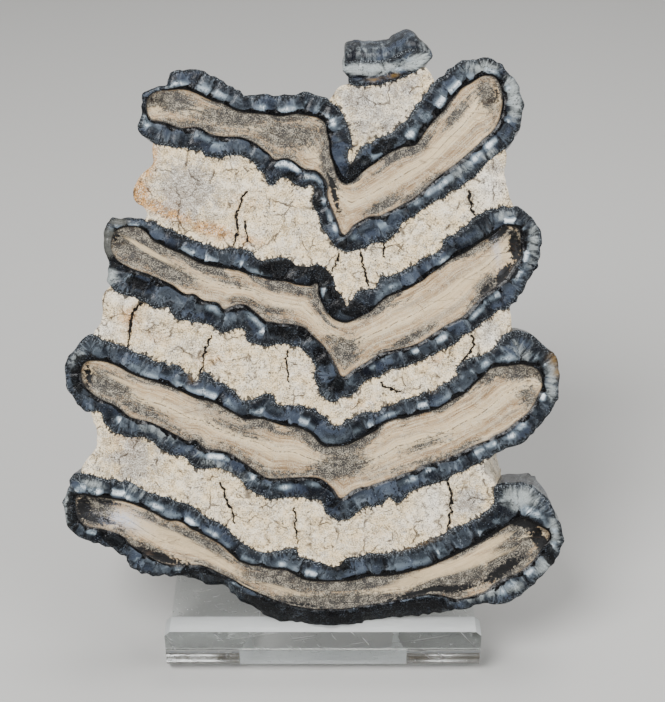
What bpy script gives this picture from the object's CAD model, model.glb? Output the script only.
import math

import bpy
import numpy as np
from bpy.props import FloatProperty, FloatVectorProperty, PointerProperty
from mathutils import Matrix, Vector
from mathutils.geometry import delaunay_2d_cdt
from mathutils.kdtree import KDTree


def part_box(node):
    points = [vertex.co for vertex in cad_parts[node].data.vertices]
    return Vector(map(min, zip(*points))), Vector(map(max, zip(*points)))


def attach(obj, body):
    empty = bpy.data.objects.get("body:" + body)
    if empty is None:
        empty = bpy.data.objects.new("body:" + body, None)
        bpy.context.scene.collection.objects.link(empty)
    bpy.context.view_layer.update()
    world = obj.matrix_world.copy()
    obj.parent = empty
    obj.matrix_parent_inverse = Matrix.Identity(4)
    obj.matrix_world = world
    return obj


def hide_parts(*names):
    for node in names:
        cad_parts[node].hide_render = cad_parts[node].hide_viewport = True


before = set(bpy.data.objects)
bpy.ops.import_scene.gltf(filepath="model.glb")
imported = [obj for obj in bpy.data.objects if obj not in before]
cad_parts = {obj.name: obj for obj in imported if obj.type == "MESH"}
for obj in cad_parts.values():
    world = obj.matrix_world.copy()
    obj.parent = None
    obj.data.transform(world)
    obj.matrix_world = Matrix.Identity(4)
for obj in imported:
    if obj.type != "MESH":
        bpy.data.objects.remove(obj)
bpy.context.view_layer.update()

bl_info = {
    "name": "Mammoth tooth slice on a stand",
    "version": (1, 0, 0),
    "blender": (4, 5, 0),
    "location": "View3D > Sidebar > Tooth slice",
    "description": "Builds a sawn fossil molar slice and the clear stand that it leans on",
    "category": "Add Mesh",
}

MM = 0.001
THICKNESS = 12
LEAN = math.radians(25)

# Outlines of the plates, clockwise from the left end: the enamel's outer edge and its inner edge
PLATES = [
    {
        "outer": [
            (-32.4, 94), (-32.4, 97.3), (-31.1, 98.2), (-27.9, 99), (-27.4, 101), (-24.8, 101.6),
            (-20.2, 100.8), (-17, 99), (-14.2, 97.3), (-11.3, 97.1), (-6.1, 97.1), (-2.4, 97.4),
            (1.3, 95.9), (3.5, 93.4), (4.6, 90.7), (5.2, 88.4), (4.4, 86), (5, 84.6), (5.8, 85.6),
            (7, 87.5), (13, 91), (15.7, 93.4), (17.2, 95.6), (19.6, 98.6), (21.8, 100.8), (23.7, 102.3),
            (27, 103.6), (31.3, 102.9), (34.4, 99.9), (35.9, 95.6), (35.7, 93.1), (33.5, 88.2),
            (30.3, 85.8), (26.5, 82.1), (23.3, 79.9), (18.7, 77.1), (14.8, 74.4), (11.7, 71.2), (9.4, 70.9),
            (6.5, 69.4), (3.1, 69.4), (0.9, 71.8), (-0.2, 74.2), (-1.5, 77.5), (-1.5, 81), (-3.3, 80.8),
            (-7, 82.3), (-9.1, 81), (-11.3, 84), (-13, 85.3), (-15.5, 86.4), (-20.5, 86), (-21.3, 86.8),
            (-23.5, 87.3), (-27.6, 88.1), (-31.1, 89), (-33.2, 91.5),
        ],
        "inner": [
            (-31.6, 94.5), (-31.2, 96.8), (-29.8, 97.7), (-27.4, 97.9), (-24.2, 97.9), (-20.9, 96.6),
            (-17.9, 95.5), (-15.4, 94.2), (-11.3, 93.8), (-7.8, 93.4), (-4.4, 93.6), (0.2, 92.3),
            (0.9, 89.9), (1.7, 85.3), (3.3, 81.8), (4.6, 81.4), (8.7, 84.5), (13, 87.3), (16.7, 88.4),
            (18.5, 90.7), (22.8, 95.6), (24.8, 98.1), (26.5, 99.2), (29.2, 100.5), (31.1, 100.1),
            (32.2, 97), (32.2, 94.4), (31.3, 91.9), (27.4, 87.9), (24.6, 85.5), (20.4, 82.1), (17.2, 79.4),
            (14.2, 77.5), (10.7, 75.7), (8, 75.3), (5.9, 74), (3.9, 72.2), (3.3, 72.9), (2.2, 76),
            (0.9, 78.8), (0.6, 81.6), (-1.1, 83.6), (-3.1, 84), (-6.3, 86), (-8.7, 85.7), (-10, 87),
            (-14.2, 89.4), (-17.2, 89.7), (-20, 90.3), (-22.2, 91.4), (-25.5, 91.4), (-28.1, 92.3),
            (-30.9, 92.7),
        ],
    },
    {
        "outer": [
            (-39.4, 71.6), (-38.7, 74.6), (-35.5, 75.1), (-32.7, 74.7), (-30.2, 74.2), (-26.3, 72.5),
            (-23.5, 71.2), (-20, 69.9), (-14.1, 69.4), (-11.3, 67.7), (-6.3, 67.7), (-4.4, 66.6),
            (0.2, 66.3), (1.5, 64.9), (2.8, 61.6), (4.3, 59.2), (5.6, 60.6), (6.3, 61.6), (9.6, 62.5),
            (10.2, 64.1), (13, 64.8), (16.7, 66.6), (17.8, 67.7), (21.3, 69.6), (21.8, 71.2), (24.6, 72.7),
            (27.6, 75.1), (31.1, 76.7), (34.8, 77), (36.8, 76), (38.4, 74.2), (39.2, 72.2), (39.2, 68.1),
            (38.4, 65.7), (36.5, 62.9), (33.9, 59.2), (31.6, 58.3), (27.9, 55.5), (25.5, 54.2),
            (24.6, 52.7), (19.6, 50.3), (15.7, 48.5), (11.7, 47.5), (9.6, 46.3), (7, 45.1), (5.9, 43.5),
            (3.7, 42.9), (1.3, 42), (-0.4, 43.1), (-1.1, 45.5), (-1.5, 48.1), (-2.4, 49.8), (-4.4, 51.8),
            (-6.7, 52.7), (-10.4, 52.2), (-13.7, 53.1), (-14, 54.8), (-15.5, 55.5), (-17.6, 54.4),
            (-19.6, 55.5), (-24.8, 56.8), (-26.8, 57.4), (-27.8, 59.4), (-30.2, 59), (-33.1, 60.3),
            (-38.5, 63.1), (-38.7, 64.9), (-38.5, 67.7), (-39.6, 69.4),
        ],
        "inner": [
            (-37.9, 68.6), (-37.9, 71.8), (-36.1, 73.3), (-33.1, 73.3), (-30.2, 70.9), (-26.3, 69),
            (-20.9, 66.6), (-17.2, 66), (-11.3, 64.4), (-6.3, 63.6), (-2.4, 62.7), (-1.1, 63.3),
            (-0.7, 61.4), (0.4, 58.8), (2.2, 56.8), (4.3, 56.1), (6.1, 56.8), (8.9, 58.3), (11.1, 60.5),
            (15.4, 62.3), (18.7, 64.4), (22.8, 67.5), (25.2, 68.5), (28.3, 70.5), (31.1, 72.2),
            (32.6, 73.6), (35.3, 73.1), (35.9, 70.3), (35.7, 68.1), (34.4, 66), (32, 63.2), (28.3, 60.5),
            (25.2, 57.4), (22.2, 55.9), (19.4, 54), (16.7, 52.4), (11.1, 50.9), (5.9, 47.9), (3.7, 46.6),
            (2.5, 48.1), (0.4, 51.8), (-1.1, 53.4), (-3.1, 55.1), (-5.7, 56.1), (-9.6, 56.4), (-12, 58.1),
            (-14, 59.4), (-16.3, 59.4), (-17.9, 58.6), (-18.9, 59.8), (-21.6, 60.3), (-23.2, 61.4),
            (-24.8, 61.4), (-27.6, 63.3), (-30.9, 64.8), (-34.8, 66.3),
        ],
    },
    {
        "outer": [
            (-46.7, 47), (-46.3, 49.7), (-44.6, 52), (-42.2, 53.7), (-39.6, 52.9), (-34.6, 51.1),
            (-29.4, 49), (-26.1, 48.1), (-24.1, 46.6), (-23.1, 45.7), (-21.5, 47), (-19.8, 45.7),
            (-17.2, 44.4), (-14.8, 42.4), (-12.6, 42), (-9.8, 43.5), (-8.1, 41.4), (-5.9, 41.4),
            (-0.9, 40.1), (2.4, 37.4), (4.1, 38.3), (8, 40), (10, 40.1), (13, 41.6), (15.5, 42.2),
            (21.5, 44.8), (24.2, 46.4), (24.8, 48.5), (30.3, 51.1), (34.4, 54.8), (37.4, 54), (39.7, 52.2),
            (42, 50.1), (42.9, 47.5), (42.9, 44.8), (42.4, 42.2), (41.1, 39.6), (38.7, 37), (36.1, 34.6),
            (32.7, 32.9), (30.7, 32), (25.5, 29.3), (22.2, 27.8), (19.6, 26.6), (16.3, 25.7), (13.5, 23.7),
            (12.2, 24.4), (10, 22.8), (7.6, 23.1), (5.7, 21.1), (2.7, 20.4), (0.7, 21.6), (0, 23.7),
            (-2.6, 24.1), (-6.3, 24.6), (-9.6, 24.2), (-11.5, 25.2), (-13.9, 26.3), (-15.5, 28.1),
            (-18.1, 29.6), (-21.3, 29.9), (-23.1, 29.6), (-24.8, 31.5), (-27.4, 32.2), (-29.4, 33.5),
            (-32, 35.5), (-34.6, 35.5), (-39.2, 37.4), (-40.5, 39.8), (-43.3, 40.4), (-45, 42.4),
            (-46.3, 44.4),
        ],
        "inner": [
            (-43.8, 47), (-42.9, 49), (-40.5, 49.4), (-37.9, 48.7), (-33.3, 46.4), (-28.1, 44.8),
            (-23.1, 42.4), (-20.2, 42), (-14.4, 38.9), (-10.9, 38.7), (-7.6, 37.7), (-4.3, 37.2),
            (-1.7, 35.5), (0, 33.9), (3, 33.7), (5.7, 34.6), (8.9, 36.3), (12.2, 38.3), (16.3, 39.2),
            (19.6, 40.1), (22.2, 41.3), (25.5, 43.2), (28.9, 46.3), (30.4, 47.8), (33.7, 48.5), (37, 48.5),
            (39, 47.5), (39.7, 45.1), (39, 43.2), (37.4, 40.1), (34.8, 37.9), (31.8, 35.9), (27.4, 33.9),
            (23.9, 32), (19.6, 30.7), (15.5, 29), (12.2, 27.9), (8.3, 26.5), (5.4, 25.7), (3.3, 24.4),
            (2, 26.1), (-0.4, 27.8), (-5, 28.1), (-10.2, 28.1), (-12.6, 29.6), (-14.8, 31.2), (-17.4, 32.7),
            (-21.5, 33.5), (-23.1, 34.8), (-24.8, 34.8), (-27.4, 36.4), (-30.7, 38.1), (-34.6, 39),
            (-37.4, 41.1), (-42.6, 44),
        ],
    },
    {
        "outer": [
            (-47.2, 22.6), (-46.8, 24.6), (-46.1, 26.6), (-45, 28.7), (-40.5, 27.9), (-37.4, 27.5),
            (-34, 26.5), (-30.7, 25), (-27.4, 23.9), (-25.3, 23.3), (-22.4, 21.6), (-18.1, 18.9),
            (-15.3, 16.3), (-13.1, 15), (-9.4, 14.2), (-5, 14.6), (-4, 13), (-0.9, 12.6), (2.8, 11.5),
            (4.1, 12.8), (8.3, 13.9), (13, 14.4), (18.1, 15.7), (20.2, 16.8), (25.5, 19.4), (28.9, 21.1),
            (31.2, 23.2), (31.8, 26.8), (35.3, 27), (37.7, 26.8), (38.7, 25.7), (40.7, 24.4), (42, 22),
            (43.3, 19.1), (43.8, 17.2), (43.3, 15), (42, 12.2), (40, 9.9), (37.4, 7.6), (34.8, 5.6),
            (31.8, 4.8), (29.8, 5.3), (27.2, 4.6), (23.1, 3.3), (18.9, 2.8), (14.2, 2.2), (8.3, 1.7),
            (5.7, 0.6), (2.4, 0), (-0.9, 0.3), (-4.3, 1.3), (-7.8, 1.7), (-11.8, 3.3), (-15, 5.4),
            (-17.9, 7.8), (-21.1, 8.5), (-25.2, 9.8), (-30, 10.2), (-32.7, 10.5), (-35.2, 11.5),
            (-35.5, 13), (-36.8, 13.9), (-38.9, 15.4), (-40.9, 16), (-44, 17.2), (-45.3, 18.1),
            (-46.8, 20.2),
        ],
        "inner": [
            (-44.8, 22), (-44.8, 24.8), (-41.6, 24.3), (-36.8, 23.9), (-31.6, 21.8), (-28.7, 20.4),
            (-25.9, 19.8), (-23.5, 18.3), (-18.7, 15.7), (-16.3, 13.6), (-13.9, 12), (-11.1, 11.5),
            (-6.7, 10.9), (-3.7, 9.4), (-0.9, 8.9), (2.8, 9.1), (5.7, 9.1), (8.3, 9.8), (14.2, 10.4),
            (20.9, 12.2), (26.5, 14.8), (32, 18.1), (36.4, 20.5), (38.7, 19.4), (41.3, 17.6), (39.4, 14.2),
            (37.7, 12.2), (35.3, 10.5), (32, 8.9), (29.4, 6.8), (22.6, 5.4), (14.2, 4.6), (5.7, 3.2),
            (-0.9, 2.6), (-7.8, 3.9), (-15, 7.6), (-21.1, 10.6), (-26.5, 11.8), (-30, 12.6), (-32.7, 14.2),
            (-34.8, 15.7), (-36.1, 17), (-40.2, 18.7), (-43.3, 19.4),
        ],
    },
]
# Cementum between the plates: its free sides are the waists
CEMENTUM = [
    (-20, 90), (-29, 91), (-30.5, 87.7), (-30.5, 85.1), (-32.4, 83.1), (-34, 80.3), (-33.7, 78.1),
    (-31.8, 76.8), (-32.5, 73), (-35, 66), (-37.5, 63.5), (-39.5, 61.2), (-39.7, 58.5), (-40.2, 56.2),
    (-41.6, 54), (-41, 50), (-42, 42), (-41.8, 39.3), (-41.2, 36.8), (-41.1, 33.9), (-42.6, 31.8),
    (-43.8, 29.6), (-43, 25), (-30, 18), (0, 8), (30, 14), (36, 20), (33.5, 25.5), (31.2, 27.2),
    (29.2, 29.8), (31.4, 32.6), (33, 36), (36, 45), (34.4, 53), (34.1, 56.8), (33.9, 59.4), (35, 66),
    (35.5, 72), (34.5, 77), (33.5, 79.6), (32.8, 82.2), (32.8, 85), (32.8, 87), (30, 88.5), (20, 82),
    (0, 84),
]
# Cementum caught in the first plate's notch, and the broken enamel of a fifth plate on top of it
TOP_BLOCK = [
    (0.8, 95.2), (1.9, 97), (3.5, 98.6), (10, 99.6), (17.4, 102.4), (19.4, 101), (20.2, 98.8), (16.4, 92.8),
    (13, 89.4), (7.5, 86.6), (5, 83.4), (3.2, 86.8), (3.8, 91.4),
]
TOP_FRAGMENT = [
    (3.7, 104.5), (4.6, 102.3), (4.9, 99.2), (9, 98.9), (13.2, 99.8), (17.5, 101.9), (18.8, 103.8),
    (19.6, 105.2), (19.1, 107.5), (17.6, 109.3), (15.9, 110.6), (14.1, 110.3), (11.7, 108.8), (8, 108.7),
    (4.4, 108.4), (4, 106.4),
]
FRAGMENT_FOOT = [(3, 99.2), (9, 98.9), (13.2, 99.8), (17.5, 101.9), (20.4, 103)]
# Cracks in the cementum, each with its half width
CRACKS = [
    (0.16, [(-13.6, 79.9), (-15.6, 76.2), (-15.3, 72.9), (-16.1, 70.3)]),
    (0.08, [(-14, 74.6), (-13.6, 70.9)]),
    (0.24, [(-32.8, 59.7), (-34.4, 58.1), (-34.9, 54.4), (-35.3, 51.8)]),
    (0.16, [(-20.2, 53.8), (-21.2, 51.1), (-21.9, 48.2), (-22.2, 46.8)]),
    (0.13, [(-6.4, 51.1), (-6.5, 49.1), (-6.2, 47.5), (-6.2, 45.5)]),
    (0.26, [(26.4, 80), (26.7, 77.6), (27.6, 75.6)]),
    (0.14, [(6.9, 69), (7.3, 66.6), (8, 64.4), (8.3, 62.9)]), (0.12, [(3, 68.7), (2.3, 66.6), (1.7, 65.6)]),
    (0.1, [(11.1, 70.5), (11.2, 68.1)]), (0.13, [(27, 54), (27.3, 52.1), (26.1, 50), (24.6, 47.8)]),
    (0.12, [(10.5, 45.4), (12, 44.2), (14.2, 43.7)]), (0.18, [(-18.7, 27), (-17.2, 23.3), (-16.1, 19.6)]),
    (0.1, [(-5.2, 22.4), (-4.6, 15.9)]), (0.24, [(22.6, 28.9), (23.5, 23.3), (22.8, 17.8)]),
]
# Hollows where decay has eaten the dentine: centre, half length, half width, turn in degrees
HOLLOWS = [
    (-42, 22, 2.4, 1.5, -20), (40, 17.4, 1.7, 1.3, 40), (-42.6, 46.6, 1.5, 1.9, 10), (34.6, 71, 1.4, 2, 15),
    (37.8, 46.4, 1.6, 1.3, -20), (-36.4, 70, 1.5, 1.8, 0), (31, 95.4, 1, 2.2, 10),
    (-29.6, 95.4, 1.8, 1.3, 0),
]
# Soft patches of each stain: centre x and y, half length, half width, turn in degrees, strength
STAINS = {
    "ochre": [
        (-31.6, 86, 2, 4, 0, 0.9), (-33, 79.5, 1.8, 3.4, 0, 1), (-28, 76.4, 5, 1.5, -22, 1),
        (-20, 73, 5, 1.5, -16, 0.8), (-13, 71, 3.5, 1.2, -8, 0.5), (-35, 57, 3, 3.5, 0, 0.45),
        (-30, 53.5, 3.5, 2, 0, 0.3), (-36, 34, 4, 4, 0, 0.35), (-27, 78.5, 2.5, 2, 0, 0.5),
        (-14, 78, 5, 3, 0, 0.25), (-20, 49.5, 4, 2, 0, 0.35), (0, 47, 5, 4, 0, 0.2),
        (20, 49, 3, 1.2, 30, 0.4), (8, 17, 5, 2, 10, 0.25), (6, 41.5, 4, 1.6, 10, 0.3),
    ],
    "grey": [
        (6, 96.6, 4, 2.4, 0, 0.8), (14, 98, 4, 2, 20, 0.7), (12, 92, 3, 3, 40, 0.6),
        (-24.6, 80, 6, 5.2, 0, 1), (-34.3, 31.6, 4.6, 4.6, 0, 0.9), (-31.5, 55.5, 3, 2.5, 0, 0.35),
        (8, 93, 5, 5, 0, 0.6), (31.5, 84, 2.2, 4, 0, 0.5), (26.5, 24, 3.5, 3.4, 30, 0.9),
        (30, 55.6, 3.2, 2.2, 30, 0.5), (-24, 52, 4, 3, 0, 0.3), (-4, 74, 4, 4, 0, 0.25),
    ],
    "chalk": [
        (30, 81, 3, 3.5, 0, 1), (30.5, 53.4, 2.4, 2.4, 0, 1), (20.3, 23.3, 3.3, 3.8, 0, 0.8),
        (10, 95, 6, 5, 0, 0.6), (30, 30, 2, 3, 0, 0.7), (-36, 61, 2.5, 2, 0, 0.6), (-40, 55, 2, 2, 0, 0.7),
    ],
    "black": [
        (-6.5, 66, 5.5, 2, 0, 1), (-0.5, 64.6, 2.6, 2.4, 0, 1), (1.6, 60.2, 1.8, 3.6, 0, 1),
        (5.6, 58.8, 3, 1.6, 0, 1), (6.5, 84.4, 3.4, 1.5, 40, 1), (11, 88, 3.4, 1.5, 30, 0.8),
        (4.6, 93.4, 1, 4, 0, 0.6), (-1, 79, 1.8, 3.6, 0, 0.6), (34, 66, 1.8, 4.4, -25, 0.9),
        (36.2, 71.6, 1.8, 3.4, 0, 0.6), (-44.2, 46.4, 1.7, 4, 0, 0.9), (-42, 49.8, 3, 1, 0, 0.7),
        (-45.4, 22, 1.7, 4.6, 0, 0.9), (-38, 16.6, 3.4, 1.6, -25, 0.8), (40.6, 14.6, 1.7, 4, 35, 0.9),
        (30, 17.6, 4.4, 1.6, 30, 0.7), (-37, 69.6, 2.6, 4.2, 0, 0.85), (-33.4, 63.5, 4, 1.5, -22, 0.7),
        (2, 23.2, 3, 2, 0, 0.6), (2.6, 45, 2.6, 2.6, 0, 0.7), (-5, 54.4, 6, 1.6, -8, 0.8),
        (0, 50.4, 2, 3, 25, 0.8), (-6, 1.6, 17, 2.6, -8, 1), (12, 2, 14, 2, 8, 1),
        (-22, 9.6, 8, 1.5, -12, 0.7), (3, 12, 4, 2.2, 0, 0.6), (-10, 26, 5, 1, -10, 0.4),
        (-26, 72, 5, 0.9, -24, 0.4), (3.5, 70.6, 3, 1.6, 0, 0.6), (-32, 98, 2, 1.6, 0, 0.4),
        (-5, 82.6, 4, 1.4, -8, 0.6), (39, 47.4, 1.6, 3, 0, 0.6),
    ],
    "milk": [
        (34.4, 97, 1.8, 5.6, 8, 0.8), (29, 102, 3.6, 1.6, 0, 0.7), (38, 71, 1.6, 5, 0, 0.6),
        (33, 75.6, 3, 1.4, 0, 0.5), (41.6, 46, 1.6, 4.4, 0, 0.7), (36, 51, 3.6, 1.8, -30, 0.5),
        (36, 24.4, 4, 2.4, 0, 0.9), (42.2, 18, 1.6, 5, 0, 0.6), (30, 7, 5, 1.4, 20, 0.6),
        (19, 31.6, 5, 1.3, 28, 0.4), (-38.6, 64.6, 1.8, 1.6, 0, 1), (-44.4, 49.4, 2.4, 2.6, 0, 0.6),
        (-18, 29.6, 7, 1.6, -28, 0.5), (-30, 36.6, 5, 1.4, -25, 0.5), (12, 105, 7, 3, 0, 0.6),
        (-33, 93, 1.4, 3, 0, 0.4), (-42, 27, 3, 1.2, -10, 0.6), (18, 45, 4, 1.3, 28, 0.3),
        (35, 8, 3, 1.2, 35, 0.6), (-46.4, 22, 1.2, 5, 0, 0.9), (-34, 26, 3, 1.4, -24, 0.4),
        (8, 105.4, 7, 3, 0, 1), (17, 105, 3, 4, 0, 1), (-24, 97.4, 5, 1.2, -10, 0.5),
        (24, 83, 5, 1.3, 38, 0.5), (30, 86.6, 2.4, 1.4, 38, 0.6), (13, 91.6, 3, 1.2, 40, 0.5),
        (40.6, 12, 2, 3, 35, 0.8),
    ],
    "bare": [(-38.6, 70.8, 1.6, 2.8, 0, 1), (-36.6, 74.4, 2.6, 0.9, 0, 0.7)],
    "amber": [
        (42, 49.6, 1.1, 1.3, 0, 1), (42.4, 47.2, 0.9, 1.1, 0, 0.9), (16.6, 15.8, 3.4, 0.5, 15, 0.8),
        (19.4, 44.6, 1, 0.8, 0, 0.8), (9.6, 101, 1.4, 0.9, 0, 0.9), (12.6, 101.8, 1, 1, 0, 0.9),
        (-23.6, 46.4, 1, 1.4, 0, 0.4),
    ],
    "rot": [
        (-33, 70, 7, 4.6, -18, 0.75), (-28, 65.6, 6, 1.8, -24, 0.8), (30, 62.6, 3, 2.2, 45, 0.8),
        (27, 69.4, 3.4, 1.1, 28, 0.7), (-39, 45, 5, 2.6, -20, 0.8), (-33, 40.4, 7, 1.6, -24, 0.6),
        (36, 47, 4, 1.3, 5, 0.8), (37.4, 42.6, 2.4, 3, 20, 0.5), (-42, 22, 4, 3, -10, 0.95),
        (-33, 14.6, 7, 1.6, -22, 0.9), (-24, 16.6, 9, 2, -24, 0.75), (-8, 9, 8, 2.2, -12, 0.8),
        (6, 8.8, 12, 1.6, 5, 1), (3, 4.6, 15, 2.2, 2, 1), (22, 7.6, 11, 2.2, 22, 1), (34, 13, 6, 3, 45, 1),
        (-27, 96, 5, 2.2, -8, 0.8), (-17, 93, 8, 1.8, -8, 0.7), (-22, 91.4, 7, 1.2, -10, 0.6),
        (-6, 90, 7, 3, -6, 0.7), (29.6, 97, 2, 3.6, 15, 0.7), (24, 93.6, 4.4, 1.1, 50, 0.6),
        (1.4, 85, 1.8, 5, 5, 0.95), (4, 51, 3.4, 3, 20, 0.7), (3, 30, 6, 2.4, 10, 0.8),
        (-10, 58.6, 5, 1, -10, 0.55), (16, 53.4, 6, 1, 28, 0.65), (10, 61, 3.6, 0.9, 30, 0.6),
        (2, 53, 3, 1.3, 0, 0.5), (18, 34, 6, 1, 20, 0.5), (-16, 37, 7, 1.2, -20, 0.5),
        (11, 77.6, 5, 1.1, 30, 0.7), (-20, 41, 5, 0.9, -24, 0.5), (-16.6, 63.6, 5, 0.9, -16, 0.5),
        (36, 19, 3.6, 1.6, 30, 0.95),
    ],
    "char": [
        (34.8, 69.8, 1.3, 4, 8, 1), (31.8, 72.4, 2.8, 0.9, 35, 1), (32.6, 65, 1.2, 3, -36, 1),
        (29.6, 62.4, 2.4, 0.8, 42, 0.8), (39.4, 17, 1.5, 3.4, 30, 1), (36.6, 19.6, 3.6, 1, -8, 1),
        (33, 11.2, 5, 1.3, 36, 1), (20, 6.4, 11, 1, 14, 0.95), (-43.6, 22.4, 1.5, 3, 0, 1),
        (-41.4, 20.4, 4, 0.9, -14, 1), (-39.6, 23.6, 4, 0.7, -14, 0.8), (-30, 13.6, 7, 0.9, -20, 0.95),
        (-42.6, 46.6, 0.9, 2.2, 0, 0.9), (-37.4, 71.6, 1, 1.4, 0, 0.7), (2, 80, 0.7, 5, 15, 0.9),
        (-30.4, 96.4, 1.8, 0.8, 0, 0.6), (31.4, 98, 0.8, 2.4, 10, 0.6), (-4, 3.6, 8, 0.6, -8, 0.7),
        (30, 17.2, 4, 0.7, 30, 0.7), (-13, 60.2, 3, 0.4, -10, 0.4),
    ],
    "cream": [
        (-25, 15.6, 12, 1.5, -27, 0.95), (22, 11, 13, 1.3, 17, 1), (31, 16, 5, 1, 28, 0.8),
        (-8, 7.6, 8, 0.8, -16, 0.6), (-31, 69, 7, 0.6, -30, 0.8), (-36, 45.4, 5, 0.6, -24, 0.7),
        (24, 62, 9, 2.2, 38, 0.6), (20, 87, 9, 2, 42, 0.6),
    ],
    "bloom": [(-36.4, 20.4, 4.6, 1.5, -14, 1), (-31, 18.8, 3, 0.9, -20, 0.7), (31.4, 69.4, 0.7, 3, 8, 0.5)],
}

# Pieces of the outline and of the mesh
TOOTH_PITCH = (0.7, 1.5)  # of the fine teeth along the enamel's outer edge
TOOTH_REACH = (0.05, 0.42)
FLUTE_PITCH = (2.6, 4.6)
SILHOUETTE_PAD = 0.27  # no free mesh point is nearer to an outline
BACK_GRAIN = 1.05
WALL_LEVELS = (0, 0.06, 0.5, 1.3, 2.4, 4, 5.6, 7.2, 8.8, 10.2, 11.4, 12)
SEED = 11
WAIST_HEIGHT = 29.5  # of the right waist that flares towards the back
WAIST_HALF = 3
WAIST_FLARE = 3.2
SIDE_DRAFT = 0.9
BROKEN_HALF = 26  # of the broken stretch of the lower edge
BROKEN_BAND = 6
BROKEN_CUT = ((0, 1.3, 4, THICKNESS), (2.2, 0, 2, 2.6))  # at each depth, how far it is broken off
HEEL_CURVE = 0.013  # of the lower edge's parabola
FRAGMENT_SPAN = (3, 20.4)
FRAGMENT_HEIGHT = 9.5
FRAGMENT_CREST = 5.5
OUTLINE_STEP = 0.1
LOOP_APART = 40  # between the noise places of two plates' enamel
GRAIN_APART = 7.3  # and of their dentine
CEMENTUM_TISSUE, ENAMEL_TISSUE, DENTINE_TISSUE = 0, 1, 2
# Loops come in this order: cementum, top block, top fragment, outer edges and inner edges
FRAGMENT_LOOP = 2
FIRST_OUTER = 3
SHELLS = FIRST_INNER = FIRST_OUTER + len(PLATES)

# Stand: the same side view as the solids, in millimetres from the lip's foot
LIP_HEIGHT = 11
LIP_TILT = math.radians(6)
SHEET = 4
STAND_WIDTH = 58
NOSE_DEPTH = 1.3
SLICE_GAP = 0.3
BACK_LENGTH = 62
BACK_TAPER = math.radians(7)
BEND_RADIUS = 3.2
BEND_STEPS = 14
TONGUE_HALF = 11
SAW_CUT = 1.2
FLARE = 3.2
FLARE_LENGTH = 5
HINGE_HEIGHT = 47
LEG_REACH = 31
HOLE_FRONT = 3.6  # of the floor's opening, from the lip's front
CORNER_RADIUS = 2.5
FOOT_CHAMFER = 1
HINGE_BELOW = 2.6  # of the tongue's bend, under the hinge
SLOT_ABOVE = 2  # of the slot's top, over the hinge
BEND_SHORT = 0.02  # the hinge's bend ends this far below the slot's top
MARK_SHORT = 0.03  # and the tongue's points this far
FLARE_SLACK = 0.7  # the tongue's points are looked for this far past its flare
CORNER_OUT = 0.3  # the plate's top corners stand out past its taper

# Stage: lamps with place, width and share of the main lamp's strength
LAMPS = {
    "key": ((-0.28, -0.42, 0.62), 0.4, 1),
    "fill": ((0.5, -0.36, 0.4), 0.5, 0.36),
    "top": ((0.1, 0.25, 0.7), 0.5, 0.36),
}
LAMP_AIM = (0, 0, 0.05)
SKY = (0.97, 0.98, 1, 1)
SKY_STRENGTH = 0.28
FLOOR_HALF = 3
VIEW_ELEVATION = math.radians(28)
VIEW_AIM = (3.04 * MM, -3.8 * MM, 53.6 * MM)


def srgb(red, green, blue):
    """Linear colour of a 0 to 255 screen colour."""
    share = (red / 255, green / 255, blue / 255)
    return tuple(c / 12.92 if c <= 0.04045 else ((c + 0.055) / 1.055) ** 2.4 for c in share)


# Sizes and colours that a user would change

def length(name, description, size):
    """A length that a user can change, given in millimetres."""
    return FloatProperty(
        name=name, description=description, default=size * MM, unit="LENGTH", precision=5,
    )


def paint(name, description, *shade):
    """A colour that a user can change."""
    return FloatVectorProperty(
        name=name, description=description, subtype="COLOR", default=srgb(*shade), min=0, max=1,
    )


class SliceSizes(bpy.types.PropertyGroup):
    grain: length("Grain", "Spacing of the mesh points on the cut face", 0.365)
    ridge: length("Enamel ridge", "How far the hard enamel stands above the worn face", 0.4)
    flute: length("Flute depth", "Depth of the grooves across the enamel", 0.16)
    pit: length("Pit depth", "Depth of the cementum's pores", 0.26)
    crack: length("Crack depth", "Depth of the open cracks", 0.5)
    hollow: length("Hollow depth", "Depth of the rotted hollows in the dentine", 1.1)
    side_relief: length("Side relief", "Unevenness of the natural sides", 0.3)


class SliceColours(bpy.types.PropertyGroup):
    cementum: paint("Cementum", "Cream cement between the plates", 239, 217, 174)
    ochre: paint("Ochre", "Iron stain on the cementum", 200, 142, 68)
    dentine: paint("Dentine", "Tan bone inside the plates", 190, 162, 122)
    enamel: paint("Enamel", "Blue grey fossil enamel", 53, 59, 66)


class StandSizes(bpy.types.PropertyGroup):
    sheet: length("Sheet", "Thickness of the acrylic", SHEET)
    edge: length("Edge", "Width of the scraped edge", 0.22)
    haze: FloatProperty(
        name="Haze", description="Roughness of the sawn edges", default=0.42, subtype="FACTOR", min=0, max=1,
    )


class StageLooks(bpy.types.PropertyGroup):
    floor: paint("Floor", "Colour of the plain floor", 176, 175, 172)
    elevation: FloatProperty(
        name="Elevation", description="Angle of the view above level", default=VIEW_ELEVATION,
        subtype="ANGLE",
    )
    distance: length("Distance", "From the camera to the point that it looks at", 280)
    lens: FloatProperty(
        name="Lens", description="Focal length on a 36 mm wide sensor", default=81.5, unit="CAMERA",
    )
    power: FloatProperty(
        name="Light", description="Strength of the main softbox", default=9.5, unit="POWER",
    )


# Wiring of node trees

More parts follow.
